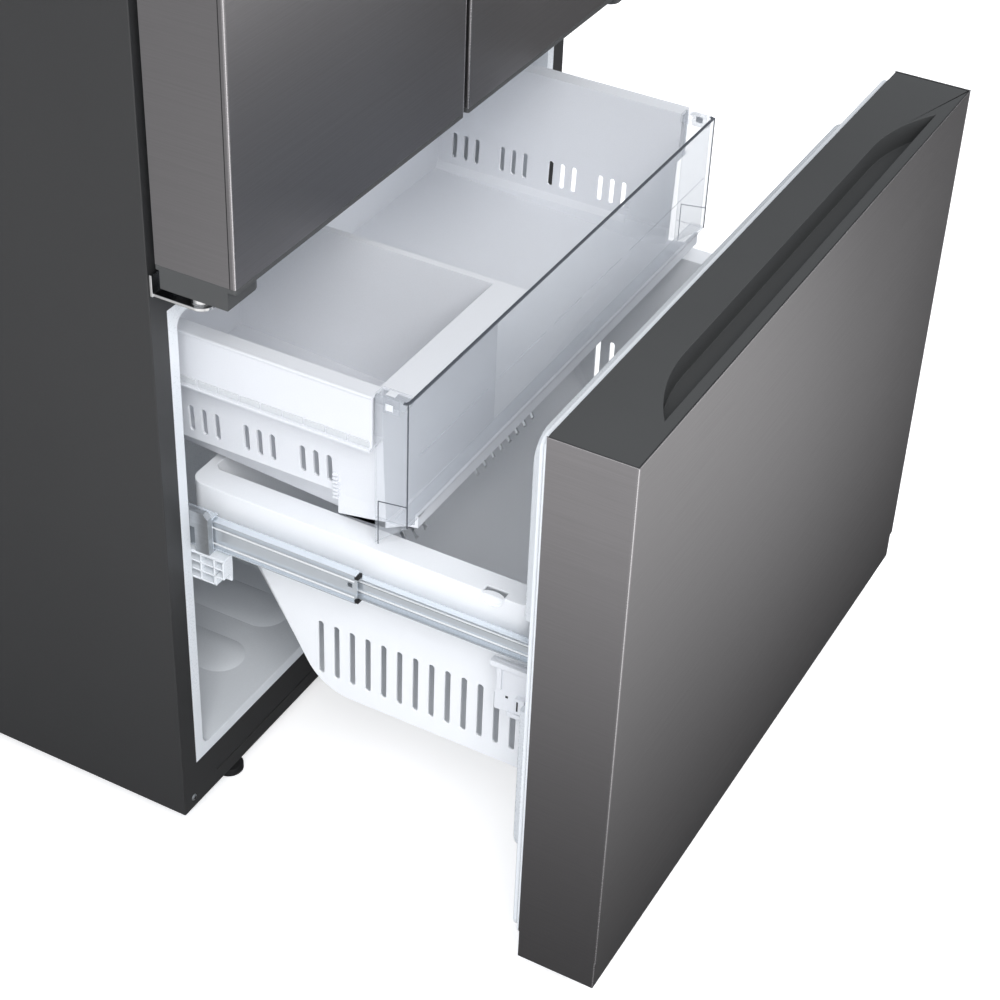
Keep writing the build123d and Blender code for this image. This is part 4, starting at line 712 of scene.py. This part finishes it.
def makeSlideTrim(s):
    (y0, y1), (low, top), (out, deep) = s["supportAlong"], s["supportLevels"], s["supportAcross"]
    rib, plate, step, (near, far) = s["rib"], s["plate"], s["step"], s["back"]
    inner, under = deep - near, top - s["cover"]
    columns = np.linspace(y0 + step + near, y1 - rib, s["ribs"])
    rows = np.linspace(low, top - plate, s["ribs"])
    boxes = [((out, y0, top - plate), (deep, y1, top)),
             ((deep - s["wall"], y0 + far, low), (deep, y1, under))]
    boxes += [((out, y, low), (inner, y + rib, under)) for y in columns]
    boxes += [((out, y0 + (far if i else step), z), (inner, y1, z + rib)) for i, z in enumerate(rows[:-1])]
    boxes += [((out, y0 + near, rows[1]), (inner, y0 + near + rib, under)),
              ((out, y0 + step, low), (inner, y0 + step + rib, rows[1] + rib))]
    makePiece("slide_support_ribs", bothSides(blockArrays(boxes)), "cabinet", "white_liner",
              bevel=0.0006, replaced=("slide_supports",))
    # the lips' raised lines are rods in painted highlight
    ridges = slideRidges(s["innerRidges"], s["innerLine"], s["innerRod"])
    makePiece("slide_inner_ridge_highlights", bothSides(*ridges), "freezer_drawer", "slide_steel", finish="slide_lip_highlight")
    # black strips beside the ridges: painted shadow in the grooves
    grooveShadows = blockArrays(atLevels(s["groove"], s["grooveShadowLevels"]))
    makePiece("slide_groove_shadows", bothSides(grooveShadows), "freezer_drawer", "black_rubber")
    ridges = slideRidges(s["middleRidges"], s["middleLine"], s["middleRod"])
    stops = [blockArrays(atLevels(s["stop"], s["endStops"]))]
    for name in ("left", "right"):
        if name == "right":
            ridges, stops = [mirrorX(part) for part in ridges], [mirrorX(part) for part in stops]
        makePiece("slide_middle_ridges_" + name, ridges, "slide_middle_" + name, "slide_steel",
                  finish="slide_lip_highlight")
        makePiece("slide_end_stops_" + name, stops, "slide_middle_" + name, "black_rubber", bevel=0.0005)


makeSlideTrim(slideTrim)
print("slide trim made")

trayTrim = {
    # the clear front: its wall runs round a plan with two corners and a straight middle
    "halfWidth": 374, "front": -257, "rear": -217, "low": 515.5, "high": 673, "wall": 4, "corner": 5,
    "middle": 120, "wallRound": (0.7, 3), "cornerSteps": 6,
    "lip": (3, (1, 16), (2, 5)),       # the strip along its foot: from its sides, its front and its low edge
    "legLevels": (482.5, 539, 544),    # foot of the legs beside the rim, and both ends of the line above
    "legLine": (0.1, 4),               # the line lies outside the leg and before its rear edge
    # dark edges, painted shade for how light bends in the clear plastic's edges: the top's bar, the corner's
    # and the leg's radius, and the corner line's inset and bend
    "edgeBar": (3.6, -1.2, 0.35, 0.3, 3), "cornerRod": 0.8, "legRod": 0.6, "lineInset": 1.3, "lineBend": 600,
    # bars across the front, by their ends, their level and height, and how far they stand out and in
    "bars": ((-352, -206), (-180, -72), (-52, 17), (37, 120), (142, 352)),
    "barLevel": 597, "barHeight": 1.1, "barDepth": (-0.35, 0.2),
    # clip and window at the left corner: boxes counted from the front corner of the clear wall
    "clip": (((1, 5, 662), (17, 41, 674.2)), ((-0.8, 12, 655), (3, 31, 673.5))),
    "window": (((4, 19, 674.0), (13, 30, 674.8)), ((-1.2, 18, 659), (-0.6, 27, 667))),
    "notchRun": (-214, 110), "notchPitch": 27, "notchGap": 2.0,
    "notchAcross": (-381.6, -379.2), "notchLevels": (609.2, 616.8),
    "roll": (-379.6, (-216, -100, 0, 120), 671.6), "rollRod": (2.2, 12),      # the rolled rim: x, y, z
    "comb": ((-357.5, -159.5, 0), (-349, -153, 2.6)), "combLevels": (506, 536), "combTeeth": 7,
}


def makeTrayTrim(s):
    half, front, rear, low, high = (s[key] for key in ("halfWidth", "front", "rear", "low", "high"))
    wall, r = s["wall"], s["corner"]
    # x and y of the wall's middle line
    x, y = half - wall / 2, front + wall / 2
    t = np.linspace(0, math.pi / 2, s["cornerSteps"])
    left = np.stack([-x + r - r * np.cos(t), y + r - r * np.sin(t)], -1)
    right = left[::-1] * (-1, 1)
    plan = np.concatenate([[(-x, rear)], left, [(-s["middle"], y), (s["middle"], y)], right, [(x, rear)]])
    path = np.column_stack([plan, np.full(len(plan), low)])
    # at each end the clear side runs down to a foot over the basket's rim
    foot, knee, step = s["legLevels"]
    leg = sweepArrays([(-half, 0, 0), (-half + wall, 0, 0)], [(-y, low), (-rear, low), (-rear, foot)],
                      (0, 0, 1))
    beside, (near, far), (under, over) = s["lip"]
    lip = blockArrays([((-x + beside, y + near, low + under), (x - beside, y + far, low + over))])
    sheet = sweepArrays(path, slab(wall, 0, high - low, *s["wallRound"]), (0, 0, 1))
    makePiece("clear_tray_front", [sheet, lip, *bothSides(leg)], "tray", "clear_plastic",
              replaced=("tray_front",))
    # the top edge, corner and legs get dark bars and rods: painted shade where light bends in the clear
    # edges
    top = path[1:-1] + (0, 0, high - low)
    makePiece("tray_front_edge_shade", [sweepArrays(top, slab(*s["edgeBar"]), (0, 0, 1))],
              "tray", "clear_plastic", finish="clear_edge_shade")
    inset = s["lineInset"]
    corner = [(-half + inset, front + inset, z) for z in (low, s["lineBend"], high)]
    edge, end = -half - s["legLine"][0], rear - s["legLine"][1]
    side = [(edge, end, foot), (edge, end, knee), (edge, front + inset, step)]
    lines = [sweepArrays(corner, roundRod(s["cornerRod"]), (1, 0, 0)),
             sweepArrays(side, roundRod(s["legRod"]), (1, 0, 0))]
    makePiece("tray_front_line_shades", bothSides(*lines), "tray", "clear_plastic", finish="clear_edge_shade")
    (out, deep), level = s["barDepth"], s["barLevel"]
    bars = [((a, front + out, level), (b, front + deep, level + s["barHeight"])) for a, b in s["bars"]]
    makePiece("tray_front_bars", [blockArrays(bars)], "tray", "clear_plastic")
    clip = blockArrays(np.array(s["clip"]) + (-half, front, 0))
    makePiece("tray_corner_clips", bothSides(clip), "tray", "clear_plastic", bevel=0.0012)
    window = blockArrays(np.array(s["window"]) + (-half, front, 0))
    makePiece("tray_clip_windows", bothSides(window), "tray", "white_bin", bevel=0.0003)
    (x0, x1), (z0, z1), pitch = s["notchAcross"], s["notchLevels"], s["notchPitch"]
    notches = [((x0, y, z0), (x1, y + pitch - s["notchGap"], z1)) for y in np.arange(*s["notchRun"], pitch)]
    makePiece("tray_side_notches", bothSides(blockArrays(notches)), "tray", "white_seal", bevel=0.0006)
    x, along, z = s["roll"]
    roll = sweepArrays([(x, y, z) for y in along], roundRod(*s["rollRod"]), (0, 0, 1))
    makePiece("tray_rim_rolls", bothSides(roll), "tray", "white_bin")
    comb = blockArrays(atLevels(s["comb"], np.linspace(*s["combLevels"], s["combTeeth"])))
    makePiece("tray_foot_combs", bothSides(comb), "tray", "white_bin", bevel=0.0005)


makeTrayTrim(trayTrim)
print("tray trim made")

linerRibs = {
    "places": (-264.4, -164, -65.6, 65.6, 164, 264.4),
    "start": 45, "length": 181, "width": 67, "height": 4.2,
    "floor": 110, "sunk": 0.3,         # the floor's level, and how far the domes start below it
    "base": 1,                         # their skirt's depth below that
    "rings": 9, "turns": 48,
}


def makeLinerRibs(s):
    # a stadium's round ends shrink by k from 1 to 0 and its height is h (1 - k^3): 0 at its outline,
    # h where it has shrunk to its middle line
    k = np.linspace(1, 0, s["rings"])[:, None]
    t = np.linspace(0, 2 * math.pi, s["turns"], endpoint=False)
    r, straight = s["width"] / 2, s["length"] / 2 - s["width"] / 2
    parts = []
    for place in s["places"]:
        x = place + r * k * np.cos(t)
        y = (s["start"] + s["length"] / 2 + r * k * np.sin(t)
             + straight * np.sign(np.sin(t) + meshSettings["tiny"]))
        z = s["floor"] - s["sunk"] + s["height"] * (1 - k ** 3) + 0 * t
        base = np.stack([x[:1], y[:1], z[:1] - s["base"]], -1)
        parts.append(gridArrays(np.concatenate([base, np.stack([x, y, z], -1)]), closeCols=True))
    makePiece("liner_floor_ribs", parts, "cabinet", "white_liner", sharp=60)


makeLinerRibs(linerRibs)

feetShape = {
    "places": ((-333, 21), (333, 21)),
    "profile": ((0, 0), (16.5, 0), (18, 1.5), (18, 8), (16.5, 10.5), (9.5, 12), (9.5, 17), (6.2, 17.4),
                (6.2, 30), (0, 30)),       # radius and height
    "turns": 48,
}
feet = [latheArrays(feetShape["profile"], (x, y, 0), "z", feetShape["turns"])
        for x, y in feetShape["places"]]
makePiece("levelling_feet_turned", feet, "cabinet", "foot_plastic", replaced=("levelling_feet",), sharp=40)

screws = {
    "panHead": ((0, -1.9), (2.2, -1.8), (4.0, -1.0), (4.6, 0.3), (0, 0.3)),      # radius and depth
    "turns": 20,
    "slot": (2.6, 0.5),                # half length and half width of the cross's bars, black bars of painted shade for the recess
    "slotLevels": (1.75, 0.3),         # how high it lies, and how thick it is
    "front": [(side * 435, 0, z) for side in (-1, 1) for z in (45, 1740)],
    "rear": [(x, 638.9, z) for x in (-425, -215, 0, 215, 425) for z in (72, 337)],
    "hem": [(side * 443, 639.95, z) for side in (-1, 1) for z in (400, 850, 1300, 1735)],
    "height": {"front": 1.0, "rear": 0.55, "hem": 0.16},      # share of a whole head; the hem's are sunk
}


def screwArrays(places, facing, height):
    # a pan head turned round y, with a cross of two thin bars laid in it
    profile = np.array(screws["panHead"], float) * (1, -facing * height)
    heads = [latheArrays(profile, place, "y", screws["turns"]) for place in places]
    (long, wide), (level, thick) = screws["slot"], screws["slotLevels"]
    cross = []
    for x, y, z in places:
        face = y + facing * level * height
        near, far = sorted((face, face + facing * thick * height))
        cross += [((x - long, near, z - wide), (x + long, far, z + wide)),
                  ((x - wide, near, z - long), (x + wide, far, z + long))]
    return heads, blockArrays(cross)


for label, facing in (("front", -1), ("rear", 1), ("hem", 1)):
    heads, cross = screwArrays(screws[label], facing, screws["height"][label])
    makePiece(label + "_screw_heads", heads, "cabinet", "galvanised", sharp=50)
    # the crosses are black: painted shade in the heads' recesses
    makePiece(label + "_screw_slot_shades", [cross], "cabinet", "black_rubber")

hingeTrim = {
    "pin": (-435, -52),
    # radius and height of the washer under the plate and of the boss on it
    "ring": ((0, 757.0), (12.6, 757.0), (13.4, 757.5), (13.4, 758.8), (0, 758.8)),
    "boss": ((0, 757.5), (9.5, 757.5), (9.5, 769), (8.2, 771.5), (0, 771.5)),
    "turns": 40,
}
rings = [latheArrays(hingeTrim[part], (*hingeTrim["pin"], 0), "z", hingeTrim["turns"])
         for part in ("ring", "boss")]
makePiece("mid_hinge_washers", bothSides(*rings), "cabinet", "hinge_chrome", sharp=40)

doorTrim = {
    "hems": (453.1, 5.9),              # x of each door's folded outer and inner edge, rods in painted highlight
    "hemFront": -106.1, "hemRadius": 0.75,
    "seam": (454.0, -100.4),           # x and y of the dark line on its outer side, painted shade in the seam between side and front
    "seamBar": (1.0, -0.3, 0.12),
    "levels": (801, 1200, 1746),
}


def makeDoorTrim(s):
    (seamX, seamY), levels = s["seam"], s["levels"]
    for body, side in (("left_door", -1), ("right_door", 1)):
        # the folded edges are thin rods in painted highlight steel
        lines = [[(side * x, s["hemFront"], z) for z in levels] for x in s["hems"]]
        makePiece(body + "_corner_hems",
                  [sweepArrays(line, roundRod(s["hemRadius"]), (0, -1, 0)) for line in lines],
                  body, "front_steel", finish="hem_highlight_steel")
        # a black bar: painted shade in the seam
        seam = [(side * seamX, seamY, z) for z in levels]
        makePiece(body + "_side_seam_shade", [sweepArrays(seam, slab(*s["seamBar"]), (side, 0, 0))],
                  body, "black_rubber")


makeDoorTrim(doorTrim)
print("screws, feet, hinges and door trim made")

stageSettings = {
    "floorHalf": 30,             # metres from its middle to its edges
    "floorLevel": -0.0005,
    "floorColour": (0.82, 0.82, 0.83),
    "floorRough": 0.9,
    "floorShine": 0.1,
    "floorLift": 0.55,           # added for the camera, so the floor comes out white but keeps its shadow
    "worldColour": (0.93, 0.96, 1.0),
    "worldStrength": 0.78,
    "frontReach": (0.57, 1.33),  # the floor that metal mirrors brightens from here to here in front,
    "frontLevel": 1.2,
    "rightLean": 0.75,           # falls off to the right, later where it is further in front,
    "rightReach": (-0.08, 0.52),
    "leftEnd": 1.3,              # brightens again to the left,
    "leftPower": 3.1,
    "backReach": (0.1, 0.9),     # there less towards the back,
    "backLevels": (1.0, 0.36),
    "floorLow": 0.09,            # and is never darker than this
    "airReach": (-0.35, 0.85),   # the air that metal mirrors darkens to the right
    "airLevels": (0.62, 0.10),
    "lamps": {                   # place, target, size and power
        "keyLamp": ((-3.6, -2.6, 4.2), (0, 0, 0.6), (2.6, 2.6), 200),
        "fillLamp": ((3.2, -3.6, 2.6), (0, -0.2, 0.6), (3.0, 2.0), 60),
        "backLamp": ((1.5, 3.6, 3.6), (0, 0.2, 0.9), (2.5, 2.0), 60),
    },
}


def rayNodes(tree, coordinates):
    # the kinds of ray, whether the camera sees it directly or through glass, and the place's parts
    rays = tree.nodes.new("ShaderNodeLightPath").outputs
    seen = mathNode(tree, "MAXIMUM", rays["Is Camera Ray"], rays["Is Transmission Ray"])
    place = tree.nodes.new("ShaderNodeTexCoord")
    parts = tree.nodes.new("ShaderNodeSeparateXYZ")
    tree.links.new(place.outputs[coordinates], parts.inputs["Vector"])
    return rays["Is Glossy Ray"], seen, parts.outputs


def buildFloor(s):
    reach = s["floorHalf"]
    corners = [(-reach, -reach), (reach, -reach), (reach, reach), (-reach, reach)]
    mesh = bpy.data.meshes.new("studioFloor")
    mesh.from_pydata([(x, y, s["floorLevel"]) for x, y in corners], [], [(0, 1, 2, 3)])
    floor = bpy.data.objects.new("studioFloor", mesh)
    bpy.context.scene.collection.objects.link(floor)
    material, tree, inputs = newMaterial("studioFloor")
    inputs["Roughness"].default_value = s["floorRough"]
    inputs["Specular IOR Level"].default_value = s["floorShine"]
    inputs["Emission Color"].default_value = (1, 1, 1, 1)
    glossy, seen, parts = rayNodes(tree, "Object")
    x, y = parts["X"], parts["Y"]
    # mirrored in metal it is the larger of a field in front, whose right edge leans, and a rise to the
    # left, (-x / leftEnd) to leftPower
    ahead = mathNode(tree, "MULTIPLY", y, -1)
    rise = rangeNode(tree, ahead, *s["frontReach"], 0.0, s["frontLevel"])
    lean = mathNode(tree, "SUBTRACT", ahead, mathNode(tree, "MULTIPLY", x, s["rightLean"]))
    forward = mathNode(tree, "MULTIPLY", rise, rangeNode(tree, lean, *s["rightReach"], 0.0, 1.0))
    beside = mathNode(tree, "MAXIMUM", mathNode(tree, "MULTIPLY", x, -1 / s["leftEnd"]), 0)
    power = mathNode(tree, "POWER", beside, s["leftPower"])
    behind = rangeNode(tree, y, *s["backReach"], *s["backLevels"])
    left = mathNode(tree, "MULTIPLY", mathNode(tree, "MINIMUM", power, s["frontLevel"]), behind)
    mirrored = mathNode(tree, "ADD", s["floorLow"], mathNode(tree, "MAXIMUM", forward, left))
    # seen by the camera it is lifted to white
    glow = mathNode(tree, "ADD", mathNode(tree, "MULTIPLY", seen, s["floorLift"]),
                    mathNode(tree, "MULTIPLY", glossy, mirrored))
    tree.links.new(glow, inputs["Emission Strength"])
    colour = mixNode(tree, "RGBA", glossy, (*s["floorColour"], 1), (0, 0, 0, 1))
    tree.links.new(colour, inputs["Base Color"])
    floor.data.materials.append(material)


def buildAir(s):
    # white for the camera, tinted light for the rest, and darker to the right where metal mirrors it
    world = bpy.data.worlds.new("studioAir")
    bpy.context.scene.world = world
    world.use_nodes = True
    tree = world.node_tree
    inputs = tree.nodes["Background"].inputs
    glossy, seen, parts = rayNodes(tree, "Generated")
    tint = mixNode(tree, "RGBA", seen, (*s["worldColour"], 1), (1, 1, 1, 1))
    tree.links.new(tint, inputs["Color"])
    plain = rangeNode(tree, seen, 0, 1, s["worldStrength"], 1.0)
    mirrored = rangeNode(tree, parts["X"], *s["airReach"], *s["airLevels"])
    tree.links.new(mixNode(tree, "FLOAT", glossy, plain, mirrored), inputs["Strength"])


def softLamp(name, place, target, size, power):
    data = bpy.data.lights.new(name, "AREA")
    data.shape = "RECTANGLE"
    data.size, data.size_y = size
    data.energy = power
    lamp = bpy.data.objects.new(name, data)
    lamp.location = place
    lamp.rotation_euler = (Vector(target) - Vector(place)).to_track_quat("-Z", "Y").to_euler()
    # what shines in metal is the floor and the air, not the lamps' squares
    lamp.visible_glossy = False
    bpy.context.scene.collection.objects.link(lamp)


buildFloor(stageSettings)
buildAir(stageSettings)
for lampName, lamp in stageSettings["lamps"].items():
    softLamp(lampName, *lamp)
print("stage and lamps ready")

bpy.context.scene.view_settings.view_transform = "Standard"
